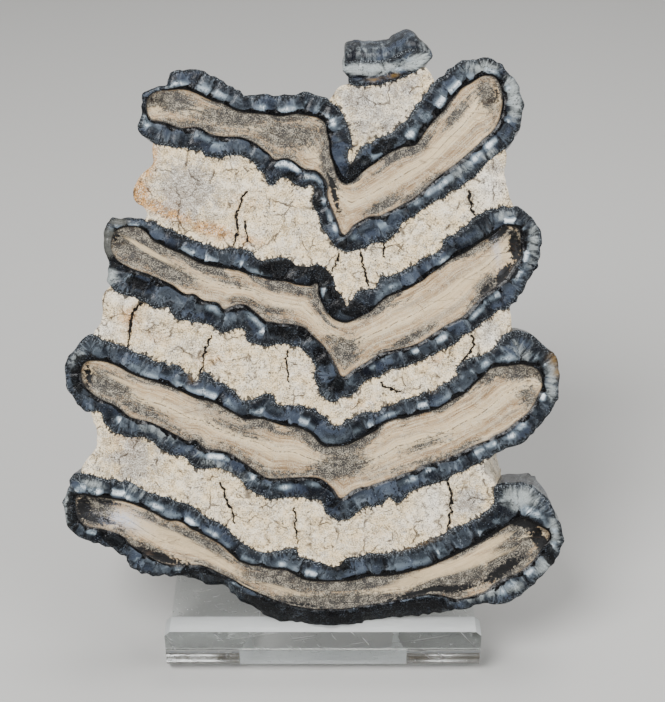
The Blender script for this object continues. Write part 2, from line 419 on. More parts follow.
class Value:
    """An output of a node; plain arithmetic with it adds math nodes."""

    def __init__(self, net, socket):
        self.net = net
        self.socket = socket

    def __add__(self, other):
        return self.net.math("ADD", self, other)

    def __sub__(self, other):
        return self.net.math("SUBTRACT", self, other)

    def __rsub__(self, other):
        return self.net.math("SUBTRACT", other, self)

    def __mul__(self, other):
        return self.net.math("MULTIPLY", self, other)

    def __abs__(self):
        return self.net.math("ABSOLUTE", self)

    __radd__ = __add__
    __rmul__ = __mul__


class Net:
    """Adds and links the nodes of one tree."""

    def __init__(self, tree):
        self.tree = tree
        self.column = 0

    def node(self, kind, feeds=None, **settings):
        made = self.tree.nodes.new(kind)
        self.column += 180
        made.location = (self.column, 0)
        for name, value in settings.items():
            setattr(made, name, value)
        for name, value in (feeds or {}).items():
            self.feed(made.inputs[name], value)
        return made

    def feed(self, socket, value):
        if isinstance(value, Value):
            value = value.socket
        if isinstance(value, bpy.types.NodeSocket):
            self.tree.links.new(value, socket)
        elif socket.type == "RGBA" and len(value) == 3:
            socket.default_value = (*value, 1)
        else:
            socket.default_value = value

    def math(self, operation, first, second=0.0):
        made = self.node("ShaderNodeMath", {0: first, 1: second}, operation=operation)
        return Value(self, made.outputs[0])

    def vector(self, operation, first, second):
        made = self.node("ShaderNodeVectorMath", {0: first, 1: second}, operation=operation)
        return Value(self, made.outputs["Vector"])

    def scaled(self, vector, length):
        feeds = {0: vector, "Scale": length}
        return self.node("ShaderNodeVectorMath", feeds, operation="SCALE").outputs["Vector"]

    def step(self, value, low, high):
        """0 below low and 1 above high, smooth between; low may be the larger."""
        feeds = {"Value": value, "From Min": low, "From Max": high}
        made = self.node("ShaderNodeMapRange", feeds, interpolation_type="SMOOTHSTEP")
        return Value(self, made.outputs["Result"])

    def noise(self, vector, scale, detail=3.0, roughness=0.55, distortion=0.0):
        feeds = {"Vector": vector, "Scale": scale, "Detail": detail, "Roughness": roughness}
        made = self.node("ShaderNodeTexNoise", {**feeds, "Distortion": distortion})
        return Value(self, made.outputs[0])

    def cells(self, vector, scale):
        feeds = {"Vector": vector, "Scale": scale}
        made = self.node("ShaderNodeTexVoronoi", feeds, feature="DISTANCE_TO_EDGE")
        return Value(self, made.outputs["Distance"])

    def mix(self, share, first, second):
        """The first colour, with the second laid over it."""
        made = self.node("ShaderNodeMix", data_type="RGBA")
        colours = [socket for socket in made.inputs if socket.type == "RGBA"]
        self.feed(made.inputs[0], share)
        self.feed(colours[0], first)
        self.feed(colours[1], second)
        return Value(self, next(socket for socket in made.outputs if socket.type == "RGBA"))

    def attribute(self, name, vector=False):
        made = self.node("ShaderNodeAttribute", attribute_name=name)
        return Value(self, made.outputs["Vector" if vector else "Fac"])

    def field(self, name, kind="FLOAT"):
        made = self.node("GeometryNodeInputNamedAttribute", {"Name": name}, data_type=kind)
        return Value(self, next(socket for socket in made.outputs if socket.enabled))

    def ends(self):
        """What goes into the tree, by name, and the sockets that take what comes out of it."""
        given = self.node("NodeGroupInput").outputs
        named = {socket.name: Value(self, socket) for socket in given if socket.name}
        return named, self.node("NodeGroupOutput").inputs


def shader_group(name, numbers):
    """An empty shader group that takes a place and numbers and gives a mask, with its two ends."""
    tree = bpy.data.node_groups.new(name, "ShaderNodeTree")
    tree.interface.new_socket(name="Place", in_out="INPUT", socket_type="NodeSocketVector")
    for label in numbers:
        tree.interface.new_socket(name=label, in_out="INPUT", socket_type="NodeSocketFloat")
    tree.interface.new_socket(name="Mask", in_out="OUTPUT", socket_type="NodeSocketFloat")
    net = Net(tree)
    return net, *net.ends()


def speckle_group():
    """Sharp dark grains, gathered in drifts."""
    net, given, wanted = shader_group("speckle", ["Fineness", "Share"])
    grains = net.noise(given["Place"], given["Fineness"], 2, 0.6)
    drifts = net.noise(given["Place"], 0.16 * given["Fineness"], 3, 0.6)
    level = 0.75 * grains + 0.45 * drifts
    limit = 0.86 - 0.32 * given["Share"]
    net.feed(wanted["Mask"], net.step(level - limit, -0.02, 0.05))
    return net.tree


def hairline_group():
    """Fine wandering cracks between uneven cells, broken into stretches."""
    net, given, wanted = shader_group("hairlines", ["Cells", "Width"])
    place = given["Place"]
    sway = net.node("ShaderNodeTexNoise", {"Vector": place, "Scale": 0.9, "Detail": 3}).outputs["Color"]
    bent = net.vector("ADD", place, net.vector("MULTIPLY", sway, (1.6, 1.6, 0)))
    line = 1 - net.step(net.cells(bent, given["Cells"]), 0, given["Width"])
    stretches = net.step(net.noise(place, 0.32, 2), 0.46, 0.6)
    net.feed(wanted["Mask"], line * stretches)
    return net.tree


def scratch_group():
    """Fine handling scratches in two directions."""
    net, given, wanted = shader_group("scratches", ["Density"])
    masks = []
    for turn, length in ((0.2, 0.02), (-0.9, 0.03)):
        feeds = {"Vector": given["Place"], "Angle": turn}
        turned = net.node("ShaderNodeVectorRotate", feeds, rotation_type="Y_AXIS").outputs[0]
        thin = net.vector("MULTIPLY", turned, (length, 1, 1))
        masks.append(net.step(net.noise(thin, given["Density"], 2, 0.5, 0.3), 0.66, 0.72))
    net.feed(wanted["Mask"], net.math("MAXIMUM", *masks))
    return net.tree


def use_group(net, tree, *feeds):
    """The mask of a shader group, fed in the order of its inputs."""
    made = net.node("ShaderNodeGroup", node_tree=tree)
    for socket, value in zip(made.inputs, feeds):
        net.feed(socket, value)
    return Value(net, made.outputs[0])


def shifted(net, place, *offset):
    return net.vector("ADD", place, offset)


def streak_place(net, place, lane, plate, along, across):
    """Place in a grain that runs along a plate: its x, its lane between the edges, and the plate."""
    x = Value(net, net.node("ShaderNodeSeparateXYZ", {0: place}).outputs["X"])
    feeds = {"X": along * x, "Y": across * lane, "Z": plate}
    return net.node("ShaderNodeCombineXYZ", feeds).outputs[0]


def new_material(name):
    made = bpy.data.materials.new(name)
    made.use_nodes = True
    made.node_tree.nodes.clear()
    net = Net(made.node_tree)
    shader = net.node("ShaderNodeBsdfPrincipled")
    end = net.node("ShaderNodeOutputMaterial")
    net.tree.links.new(shader.outputs[0], end.inputs["Surface"])
    return made, net, shader.inputs


def bump(net, height, distance, strength=1.0):
    made = net.node("ShaderNodeBump", {"Height": height, "Distance": distance, "Strength": strength})
    return made.outputs["Normal"]


# Finishes of the slice

def cementum_material(looks, speckle, hairlines):
    """Cream cement: ochre and grey stains, wormy lines, grains, hairlines and open cracks."""
    made, net, surface = new_material("cementum")
    place = net.attribute("flat", vector=True)
    grey, ochre, chalk = net.attribute("grey"), net.attribute("ochre"), net.attribute("chalk")
    broad = net.noise(place, 0.28, 4, 0.6)
    fine = net.noise(place, 2.2, 4, 0.65)
    warm = net.mix(net.step(broad, 0.4, 0.64), looks.cementum, srgb(240, 229, 206))
    colour = net.mix(0.8 * net.step(fine, 0.3, 0.75), warm, srgb(214, 187, 142))
    colour = net.mix(0.6 * net.step(fine, 0.52, 0.8), colour, srgb(248, 240, 222))
    swirl = net.noise(place, 0.55, 3, 0.6, 0.6)
    ochre_share = 0.85 * net.step(ochre + 0.7 * swirl, 0.42, 1.1)
    colour = net.mix(ochre_share, colour, looks.ochre)
    colour = net.mix(0.7 * chalk, colour, srgb(238, 236, 228))
    grey_share = 0.7 * net.step(grey + 1.6 * (swirl - 0.5), 0.3, 0.7)
    colour = net.mix(grey_share, colour, srgb(196, 193, 186))
    worms = net.noise(place, 1.15, 3, 0.6, 0.9)
    worm_lines = 1 - net.step(abs(worms - 0.5), 0.006, 0.034)
    worm_share = worm_lines * net.step(grey + 0.7 * ochre, 0.1, 0.6)
    worm_tone = net.mix(net.step(ochre, 0.1, 0.5), srgb(70, 70, 72), srgb(104, 70, 36))
    colour = net.mix(0.9 * worm_share * net.step(swirl, 0.4, 0.55), colour, worm_tone)
    dust = use_group(net, speckle, place, 4.2, 0.7 + 0.25 * grey)
    colour = net.mix(0.6 * dust, colour, srgb(96, 78, 58))
    specks = use_group(net, speckle, shifted(net, place, 3, 9, 0), 2.2, 0.5)
    colour = net.mix(0.85 * specks, colour, srgb(52, 44, 38))
    light = use_group(net, speckle, shifted(net, place, 23, 2, 0), 4.2, 0.66)
    colour = net.mix(0.5 * light, colour, srgb(252, 247, 234))
    lines = use_group(net, hairlines, place, 0.24, 0.05)
    small = use_group(net, hairlines, shifted(net, place, 31, 7, 0), 0.7, 0.03)
    hair = net.math("MAXIMUM", lines, 0.22 * small)
    colour = net.mix(0.85 * hair, colour, srgb(66, 52, 40))
    gape = net.attribute("crack") + 0.5 * net.noise(place, 1.6, 3, 0.7)
    open_crack = 1 - net.step(gape, 0.3, 0.42)
    colour = net.mix(open_crack, colour, srgb(16, 12, 10))
    teeth = net.noise(net.vector("MULTIPLY", net.attribute("loop", vector=True), (1, 1, 0.3)), 1.5, 3, 0.65)
    reach = net.attribute("rim") + 3.4 * (teeth - 0.46)
    root = net.step(reach, -0.1, 0.05) * net.step(net.attribute("rim"), -1, -0.8)
    colour = net.mix(0.9 * root, colour, srgb(14, 16, 22))
    net.feed(surface["Base Color"], colour)
    net.feed(surface["Roughness"], net.step(fine, -0.6, 1.5))
    height = 0.55 * fine - 0.5 * net.math("MAXIMUM", dust, specks) - hair - 1.2 * open_crack
    net.feed(surface["Normal"], bump(net, height, 0.22 * MM, 0.9))
    surface["Specular IOR Level"].default_value = 0.2
    return made


def dentine_material(looks, speckle, hairlines):
    """Tan bone, streaked along the plate, with grey smears, a dark seam and crumbled black ends."""
    made, net, surface = new_material("dentine")
    place = net.attribute("flat", vector=True)
    lane, rot, core = net.attribute("lane"), net.attribute("rot"), net.attribute("core")
    across = streak_place(net, place, lane, net.attribute("plate"), 0.055, 5.5)
    broad = net.noise(across, 1, 5, 0.6, 0.25)
    fine = net.noise(net.vector("MULTIPLY", across, (2.2, 6, 1)), 1, 5, 0.65, 0.3)
    grain = net.noise(place, 1.7, 4, 0.65)
    colour = net.mix(net.step(broad, 0.38, 0.6), srgb(142, 116, 84), looks.dentine)
    colour = net.mix(0.75 * net.step(fine, 0.46, 0.7), colour, srgb(216, 199, 166))
    colour = net.mix(0.8 * net.step(fine, 0.54, 0.36), colour, srgb(116, 92, 66))
    haze = net.step(net.noise(net.vector("MULTIPLY", across, (1.2, 1.1, 1)), 1, 3), 0.5, 0.66)
    colour = net.mix(0.5 * haze, colour, srgb(128, 122, 112))
    middle = abs(lane - (0.44 + 0.12 * broad))
    vein = 1 - net.step(middle, 0.02, 0.22)
    colour = net.mix(0.55 * vein, colour, srgb(222, 201, 162))
    edge = 1 - net.step(core, 0, 3.2)
    drift = net.step(net.noise(net.vector("MULTIPLY", across, (1.6, 0.5, 1)), 1, 3), 0.4, 0.58)
    above = 0.5 + 0.5 * net.step(lane, 0.35, 0.75)
    dirt = net.math("MAXIMUM", rot, edge * drift * above)
    ragged = 1.5 * (fine - 0.5) + 1.2 * (grain - 0.5)
    smear = net.step(dirt + 0.8 * ragged, 0.16, 0.52)
    smear_tone = net.mix(net.step(grain, 0.36, 0.66), srgb(42, 45, 50), srgb(108, 105, 97))
    colour = net.mix(0.86 * smear, colour, smear_tone)
    dust = use_group(net, speckle, place, 5.2, 0.42 + 0.62 * smear)
    colour = net.mix(0.85 * dust, colour, srgb(34, 34, 36))
    pale = use_group(net, speckle, shifted(net, place, 5, 17, 0), 4.6, 0.72)
    colour = net.mix(0.45 * pale, colour, srgb(206, 196, 174))
    seam = (1 - net.step(middle, 0, 0.016)) * net.step(grain, 0.44, 0.55)
    colour = net.mix(0.8 * seam, colour, srgb(54, 42, 32))
    ink_edge = 1 - net.step(core + 0.6 * grain, 0.3, 0.62)
    colour = net.mix(0.8 * ink_edge, colour, srgb(34, 29, 24))
    rotten = net.step(1.1 * net.attribute("char") + 2.2 * (grain - 0.5), 0.45, 0.7)
    colour = net.mix(rotten, colour, srgb(7, 7, 8))
    frost = net.attribute("bloom") * net.step(grain - 0.3 * dust, 0.3, 0.5)
    colour = net.mix(0.85 * frost, colour, srgb(186, 190, 202))
    cream = 0.8 * net.step(net.attribute("cream") + 0.8 * (fine - 0.5), 0.3, 0.65)
    colour = net.mix(cream, colour, net.mix(fine, srgb(176, 152, 116), srgb(224, 202, 162)))
    lines = use_group(net, hairlines, net.vector("MULTIPLY", place, (0.35, 1.4, 1)), 0.3, 0.02)
    colour = net.mix(0.5 * lines, colour, srgb(70, 54, 42))
    net.feed(surface["Base Color"], colour)
    net.feed(surface["Roughness"], net.step(fine, -0.4, 1.4))
    height = 0.8 * fine - 0.8 * seam - 0.5 * lines - 0.3 * dust
    net.feed(surface["Normal"], bump(net, height, 0.16 * MM, 0.8))
    surface["Specular IOR Level"].default_value = 0.25
    return made


def enamel_material(looks, speckle):
    """Blue grey enamel: flutes with bright spots, a dark toothed outer edge and a black inner line."""
    made, net, surface = new_material("enamel")
    place, loop = net.attribute("flat", vector=True), net.attribute("loop", vector=True)
    band, flute, glow = net.attribute("band"), net.attribute("flute"), net.attribute("glow")
    black, milk, amber = net.attribute("black"), net.attribute("milk"), net.attribute("amber")
    tone = net.attribute("tone")
    rays = net.noise(net.vector("MULTIPLY", loop, (1, 1, 0.3)), 1.3, 4, 0.6)
    cloud = net.noise(loop, 0.42, 3, 0.55)
    grain = net.noise(place, 4.2, 3, 0.65)
    teeth = net.noise(net.vector("MULTIPLY", loop, (1, 1, 0.3)), 2.3, 3, 0.6)
    colour = net.mix(tone, srgb(9, 10, 14), looks.enamel)
    lit = net.step(rays, 0.44, 0.76) * (0.15 + 0.75 * tone)
    colour = net.mix(lit, colour, srgb(112, 122, 131))
    colour = net.mix(0.8 * net.step(cloud, 0.54, 0.36), colour, srgb(9, 12, 20))
    cold = 0.4 * net.step(net.noise(loop, 0.21, 2), 0.5, 0.62)
    colour = net.mix(cold, colour, srgb(62, 72, 90))
    milky = net.step(milk + 1.2 * (rays - 0.5), 0.2, 0.85)
    colour = net.mix(0.85 * milky, colour, net.mix(grain, srgb(104, 112, 112), srgb(196, 202, 200)))
    shine = glow * net.step(rays + 0.3 * grain, 0.4, 0.75)
    halo = glow * net.step(rays + cloud, 0.6, 1.05)
    colour = net.mix(0.7 * net.step(halo, 0, 0.5), colour, srgb(128, 142, 152))
    colour = net.mix(0.95 * net.step(shine, 0.22, 1), colour, srgb(236, 242, 246))
    groove = 1 - net.step(flute + 0.6 * rays, 0.2, 0.55)
    colour = net.mix(0.9 * groove, colour, srgb(6, 7, 10))
    outer = (1 - net.step(band + 1.1 * (teeth - 0.5), 0.1, 0.26)) * (1 - 0.85 * milky)
    colour = net.mix(0.92 * outer, colour, srgb(6, 8, 13))
    tips = (1 - net.step(band, 0.05, 0.22)) * net.step(grain, 0.54, 0.62)
    colour = net.mix(0.7 * tips, colour, srgb(150, 158, 164))
    cusp = 0.16 * (1 - net.step(flute, 0, 1.2))
    inner = net.step(band + 0.2 * (teeth - 0.5) + cusp, 0.84, 0.9)
    colour = net.mix(inner, colour, srgb(2, 2, 3))
    dark = net.step(black + 1.1 * (rays - 0.5), 0.34, 0.56)
    colour = net.mix(0.97 * dark, colour, srgb(3, 3, 4))
    crumbs = use_group(net, speckle, place, 3.6, 0.34 + 0.3 * black)
    crumb_tone = net.mix(dark, srgb(120, 130, 142), srgb(66, 72, 80))
    colour = net.mix(0.6 * crumbs, colour, crumb_tone)
    pits = use_group(net, speckle, shifted(net, place, 13, 5, 2), 3.2, 0.5)
    colour = net.mix(0.75 * pits, colour, srgb(5, 6, 9))
    colour = net.mix(0.9 * amber * net.step(rays, 0.3, 0.6), colour, srgb(112, 86, 40))
    worn_off = net.step(net.attribute("bare") + 0.7 * (grain - 0.5), 0.25, 0.6)
    colour = net.mix(0.9 * worn_off, colour, net.mix(rays, srgb(30, 32, 33), srgb(104, 104, 98)))
    net.feed(surface["Base Color"], colour)
    net.feed(surface["Roughness"], net.step(grain + 0.5 * outer, -0.1, 1.7))
    surface["Specular IOR Level"].default_value = 0.16
    surface["Coat Weight"].default_value = 0.03
    surface["Coat Roughness"].default_value = 0.12
    height = 0.8 * rays - groove + 1.2 * teeth * outer - 0.4 * net.math("MAXIMUM", crumbs, pits)
    net.feed(surface["Normal"], bump(net, height, 0.2 * MM, 0.8))
    return made


# Shape of the slice

def smooth_loop(points, step, closed=True):
    """Evenly spaced points on the centripetal curve through the given ones."""
    knots = np.array(points, float)
    count = len(knots)
    spans = count if closed else count - 1
    share = np.linspace(0, 1, 24, endpoint=False)[:, None]
    dense = []
    for i in range(spans):
        picks = [(i + k) % count if closed else min(max(i + k, 0), count - 1) for k in (-1, 0, 1, 2)]
        p0, p1, p2, p3 = knots[picks]
        t0, t1, t2 = (max(np.linalg.norm(b - a) ** 0.5, 1e-3) for a, b in ((p0, p1), (p1, p2), (p2, p3)))
        m1 = ((p1 - p0) / t0 - (p2 - p0) / (t0 + t1) + (p2 - p1) / t1) * t1
        m2 = ((p2 - p1) / t1 - (p3 - p1) / (t1 + t2) + (p3 - p2) / t2) * t1
        square, cube = 3 * (p2 - p1) - 2 * m1 - m2, 2 * (p1 - p2) + m1 + m2
        dense.append(p1 + m1 * share + square * share**2 + cube * share**3)
    dense.append(knots[:1] if closed else knots[-1:])
    return even_points(np.concatenate(dense), step, closed)


def even_points(line, step, closed=True):
    run = np.concatenate([[0], np.cumsum(np.linalg.norm(np.diff(line, axis=0), axis=1))])
    count = max(int(round(run[-1] / step)), 2)
    at = np.linspace(0, run[-1], count if closed else count + 1, endpoint=not closed)
    return np.stack([np.interp(at, run, line[:, axis]) for axis in (0, 1)], axis=1)


def turn_area(loop):
    """Twice a loop's area, negative where it turns clockwise."""
    return np.sum(loop[:, 0] * np.roll(loop[:, 1], -1) - np.roll(loop[:, 0], -1) * loop[:, 1])


def outward(loop):
    """Unit normals that point out of a closed loop."""
    way = np.roll(loop, -1, 0) - np.roll(loop, 1, 0)
    way /= np.linalg.norm(way, axis=1)[:, None] + 1e-9
    return np.sign(turn_area(loop)) * np.stack([way[:, 1], -way[:, 0]], axis=1)


def toothed(loop, pitch, reach, rng):
    """Moves a loop's points in and out in small uneven teeth."""
    step = np.linalg.norm(loop[1] - loop[0])
    total = step * len(loop)
    stops = np.cumsum(rng.uniform(*pitch, int(2 * total / sum(pitch)) + 8))
    stops = np.concatenate([[0], stops[stops < total - pitch[0]], [total]])
    heights = rng.uniform(reach[0] - 0.6 * reach[1], reach[1], len(stops))
    heights[-1] = heights[0]
    push = np.interp(np.arange(len(loop)) * step, stops, heights)
    return loop + outward(loop) * push[:, None]


def tooth_loops(rng):
    """Every outline of the slice with its small teeth, in the order that the numbers above give."""
    loops = [
        toothed(smooth_loop(CEMENTUM, 0.35), (0.6, 1.8), (0, 0.22), rng),
        toothed(smooth_loop(TOP_BLOCK, 0.35), (0.6, 1.6), (0, 0.25), rng),
        toothed(smooth_loop(TOP_FRAGMENT, 0.3), (0.5, 1.4), (0, 0.22), rng),
    ]
    loops += [toothed(smooth_loop(plate["outer"], 0.27), TOOTH_PITCH, TOOTH_REACH, rng) for plate in PLATES]
    loops += [toothed(smooth_loop(plate["inner"], 0.33), (1.2, 3.2), (0, 0.2), rng) for plate in PLATES]
    return loops


def crack_lines(rng):
    """Jagged lines of the cracks, with the half width along each."""
    lines = []
    for half, points in CRACKS:
        line = smooth_loop(points, 0.4, closed=False)
        line[1:-1] += rng.uniform(-0.3, 0.3, line[1:-1].shape)
        lines.append((half * np.linspace(0.7, 0.35, len(line)), line))
    return lines


def near_tree(points):
    tree = KDTree(len(points))
    for i, (x, y) in enumerate(points):
        tree.insert((x, y, 0), i)
    tree.balance()
    return tree


def nearest(tree, points):
    """Distance to a tree's nearest point, and its number, for each given point."""
    found = [tree.find((x, y, 0))[1:] for x, y in points]
    return np.array([f[1] for f in found]), np.array([f[0] for f in found], int)


def turning_left(loop, start=0):
    """Numbers of a loop's points, counted from start, in counterclockwise order."""
    order = list(range(start, start + len(loop)))
    return order if turn_area(np.array(loop)) > 0 else order[::-1]


def panel(loops, lines, grain, rng):
    """Triangles inside the loops, whose edges follow every loop and line, and which loops each lies in."""
    points, edges, faces = [], [], []
    for loop in loops:
        start = len(points)
        points += [Vector(p) for p in loop]
        faces.append(turning_left(loop, start))
    for _, line in lines:
        start = len(points)
        points += [Vector(p) for p in line]
        edges += [(start + i, start + i + 1) for i in range(len(line) - 1)]
    known = near_tree([tuple(p) for p in points])
    low = np.min([loop.min(0) for loop in loops], 0)
    high = np.max([loop.max(0) for loop in loops], 0)
    rows = np.arange(low[1], high[1], grain * 0.866)
    columns = np.arange(low[0], high[0], grain)
    field = np.array([(x + grain / 2 * (j % 2), y) for j, y in enumerate(rows) for x in columns])
    field += rng.uniform(-0.18, 0.18, field.shape) * grain
    field = field[np.any([within(field, loop) for loop in loops[:SHELLS]], axis=0)]
    away, _ = nearest(known, field)
    points += [Vector(p) for p in field[away > max(SILHOUETTE_PAD, 0.6 * grain)]]
    out = delaunay_2d_cdt(points, edges, faces, 1, 1e-5, True)
    places = np.array([tuple(v) for v in out[0]])
    kept = [k for k, held in enumerate(out[5]) if held]
    return places, np.array([out[2][k] for k in kept], int), [out[5][k] for k in kept]


def within(points, loop):
    """True for each point that a loop encloses."""
    ends = np.roll(loop, -1, 0)
    (x0, y0), (x1, y1) = loop.T, ends.T
    slope = (x1 - x0) / np.where(y1 == y0, 1e-9, y1 - y0)
    found = np.zeros(len(points), bool)
    for start in range(0, len(points), 4000):
        x, y = points[start:start + 4000, :1], points[start:start + 4000, 1:]
        crossed = ((y0 > y) != (y1 > y)) & (x < x0 + slope * (y - y0))
        found[start:start + 4000] = crossed.sum(1) % 2 == 1
    return found


def memberships(count, triangles, owners, loops):
    """For each loop, 1 for points wholly inside it, 0 outside and on it between."""
    inside = np.zeros((loops, count))
    total = np.zeros(count)
    hold = np.zeros((len(triangles), loops), bool)
    for i, held in enumerate(owners):
        hold[i, list(held)] = True
    for corner in range(3):
        np.add.at(total, triangles[:, corner], 1)
        for k in range(loops):
            np.add.at(inside[k], triangles[:, corner], hold[:, k])
    return inside / np.maximum(total, 1), hold


def patches(points, blobs):
    """The strongest of the soft round patches at each point."""
    value = np.zeros(len(points))
    for x, y, length, width, turn, strength in blobs:
        angle = math.radians(turn)
        dx, dy = points[:, 0] - x, points[:, 1] - y
        along = (dx * math.cos(angle) + dy * math.sin(angle)) / length
        over = (dy * math.cos(angle) - dx * math.sin(angle)) / width
        value = np.maximum(value, strength * np.exp(-(along**2 + over**2)))
    return value


def tissue_facts(points, inside, loops, lines, rng):
    """The measures that relief and colour follow, at each point of a panel."""
    count = len(points)
    facts = {name: patches(points, blobs) for name, blobs in STAINS.items()}
    facts["hollow"] = patches(points, [(*hollow, 1) for hollow in HOLLOWS])
    facts["rim"] = np.full(count, -9.0)
    facts["core"] = np.full(count, -9.0)
    for name in ("lane", "flute", "glow", "plate", "tone"):
        facts[name] = np.zeros(count)
    loop_place = np.zeros((count, 3))
    shells = [(FIRST_OUTER + k, FIRST_INNER + k) for k in range(len(PLATES))] + [(FRAGMENT_LOOP, None)]
    for order, (shell, heart) in enumerate(shells):
        outline = even_points(np.vstack([loops[shell], loops[shell][:1]]), OUTLINE_STEP)
        away, at = nearest(near_tree(outline), points)
        found = {"rim": signed(away, inside[shell]), "plate": np.full(count, GRAIN_APART * order)}
        take = found["rim"] > facts["rim"]
        total, run = OUTLINE_STEP * len(outline), at * OUTLINE_STEP
        angle, radius = run / total * 2 * math.pi, total / (2 * math.pi)
        off = found["rim"] + LOOP_APART * order
        place = np.stack([radius * np.cos(angle), radius * np.sin(angle), off], axis=1)
        loop_place[take] = place[take]
        if heart is None:
            found["core"], found["lane"] = np.full(count, -3.5), np.zeros(count)
        else:
            found["core"], found["lane"] = core_facts(points, inside[heart], loops[heart])
        band = np.clip(found["rim"] / (found["rim"] - found["core"] + 1e-6), 0, 1)
        found["flute"], found["tone"], found["glow"] = flute_facts(run, total, band, rng)
        for name, values in found.items():
            facts[name] = np.where(take, values, facts[name])
    facts["band"] = np.clip(facts["rim"] / (facts["rim"] - facts["core"] + 1e-6), 0, 1)
    facts["crack"] = np.full(count, 5.0)
    for half, line in lines:
        fine = even_points(line, OUTLINE_STEP, closed=False)
        away, at = nearest(near_tree(fine), points)
        width = half[np.minimum(at * len(line) // len(fine), len(line) - 1)]
        facts["crack"] = np.minimum(facts["crack"], np.maximum(away - width, 0))
    return facts, loop_place


def signed(away, share):
    """Distance to a loop: positive inside it, negative outside, 0 on it."""
    return np.where(share > 0.99, away, np.where(share < 0.01, -away, 0))


def flute_facts(run, total, band, rng):
    """Distance to the nearest groove across the enamel, and the tone and bright spot of its flutes."""
    stops = np.cumsum(rng.uniform(*FLUTE_PITCH, int(total / FLUTE_PITCH[0]) + 4))
    stops = np.concatenate([[0], stops[stops < total - FLUTE_PITCH[0]], [total]])
    count = len(stops)
    number = np.clip(np.searchsorted(stops, run, side="right") - 1, 0, count - 2)
    before, after = stops[number], stops[number + 1]
    some_dark = rng.random(count) < 0.22
    shades = np.where(some_dark, rng.uniform(0, 0.3, count), rng.uniform(0.55, 1, count))
    bright = np.clip(rng.uniform(-0.3, 1.2, count), 0, 1.1)[number]
    spread = rng.uniform(0.16, 0.42, count)[number]
    level = rng.uniform(0.55, 0.76, count)[number]
    middle = before + (after - before) * rng.uniform(0.35, 0.65, count)[number]
    along = (run - middle) / (spread * (after - before))
    spot = np.exp(-(along**2)) * np.exp(-(((band - level) / 0.15) ** 2))
    return np.minimum(run - before, after - run), shades[number], bright * spot


def core_facts(points, share, loop):
    """Depth inside the dentine's edge, and 0 to 1 from its lower edge to its upper one."""
    outline = even_points(np.vstack([loop, loop[:1]]), OUTLINE_STEP)
    left, right = int(np.argmin(outline[:, 0])), int(np.argmax(outline[:, 0]))
    turned = np.roll(outline, -left, 0)
    split = (right - left) % len(outline)
    above, _ = nearest(near_tree(turned[:split]), points)
    below, _ = nearest(near_tree(turned[split:]), points)
    return signed(np.minimum(above, below), share), below / (above + below + 1e-6)


def ease(value, low, high):
    share = np.clip((value - low) / (high - low), 0, 1)
    return share * share * (3 - 2 * share)


def slab_place(points, depth):
    """Where a point of the face lies at a depth: drafted sides, broken lower edge, rising top skin."""
    x, y = points[:, 0], points[:, 1]
    share = depth / THICKNESS
    near_edge = np.clip(1 - (y - HEEL_CURVE * (x - 3) ** 2) / BROKEN_BAND, 0, 1)
    broken = near_edge * ease(BROKEN_HALF - np.abs(x + 1), 0, BROKEN_BAND)
    waist = np.exp(-(((y - WAIST_HEIGHT) / WAIST_HALF) ** 2)) * ease(x, 22, 29)
    foot = np.interp(x, *np.transpose(FRAGMENT_FOOT))
    inside = (x > FRAGMENT_SPAN[0]) & (x < FRAGMENT_SPAN[1])
    crest = FRAGMENT_CREST * np.clip((y - foot) / FRAGMENT_HEIGHT, 0, 1) * inside
    return np.stack([
        x + share * (SIDE_DRAFT * ease(x, 10, 40) + WAIST_FLARE * waist),
        y + broken * np.interp(depth, *BROKEN_CUT) - crest * (1 - math.sqrt(share)),
        np.full(len(x), depth),
    ], axis=1)


def stand_up(flat):
    """From x, y and depth of the slice to metres in the room, leaning back."""
    x, y, depth = flat[:, 0], flat[:, 1], flat[:, 2]
    return MM * np.stack([
        x, y * math.sin(LEAN) + depth * math.cos(LEAN), y * math.cos(LEAN) - depth * math.sin(LEAN),
    ], axis=1)


def turn_up(push):
    """The same turn for directions given as x, y and depth."""
    return stand_up(push) / MM


def tissue_of(hold):
    """Tissue of each triangle, from the loops that it lies in."""
    dentine = hold[:, FIRST_INNER:].any(1)
    enamel = hold[:, FRAGMENT_LOOP:FIRST_INNER].any(1)
    return np.where(dentine, DENTINE_TISSUE, np.where(enamel, ENAMEL_TISSUE, CEMENTUM_TISSUE))


def free_edges(triangles):
    """Edges that only one triangle uses, in that triangle's direction."""
    pairs = np.concatenate([triangles[:, [0, 1]], triangles[:, [1, 2]], triangles[:, [2, 0]]])
    known = {(a, b) for a, b in pairs.tolist()}
    return np.array([(a, b) for a, b in known if (b, a) not in known], int)


def wound_up(points, triangles):
    """Triangles counterclockwise seen from the front."""
    a, b, c = (points[triangles[:, k]] for k in range(3))
    area = (b[:, 0] - a[:, 0]) * (c[:, 1] - a[:, 1]) - (c[:, 0] - a[:, 0]) * (b[:, 1] - a[:, 1])
    return np.where(area[:, None] > 0, triangles, triangles[:, ::-1])


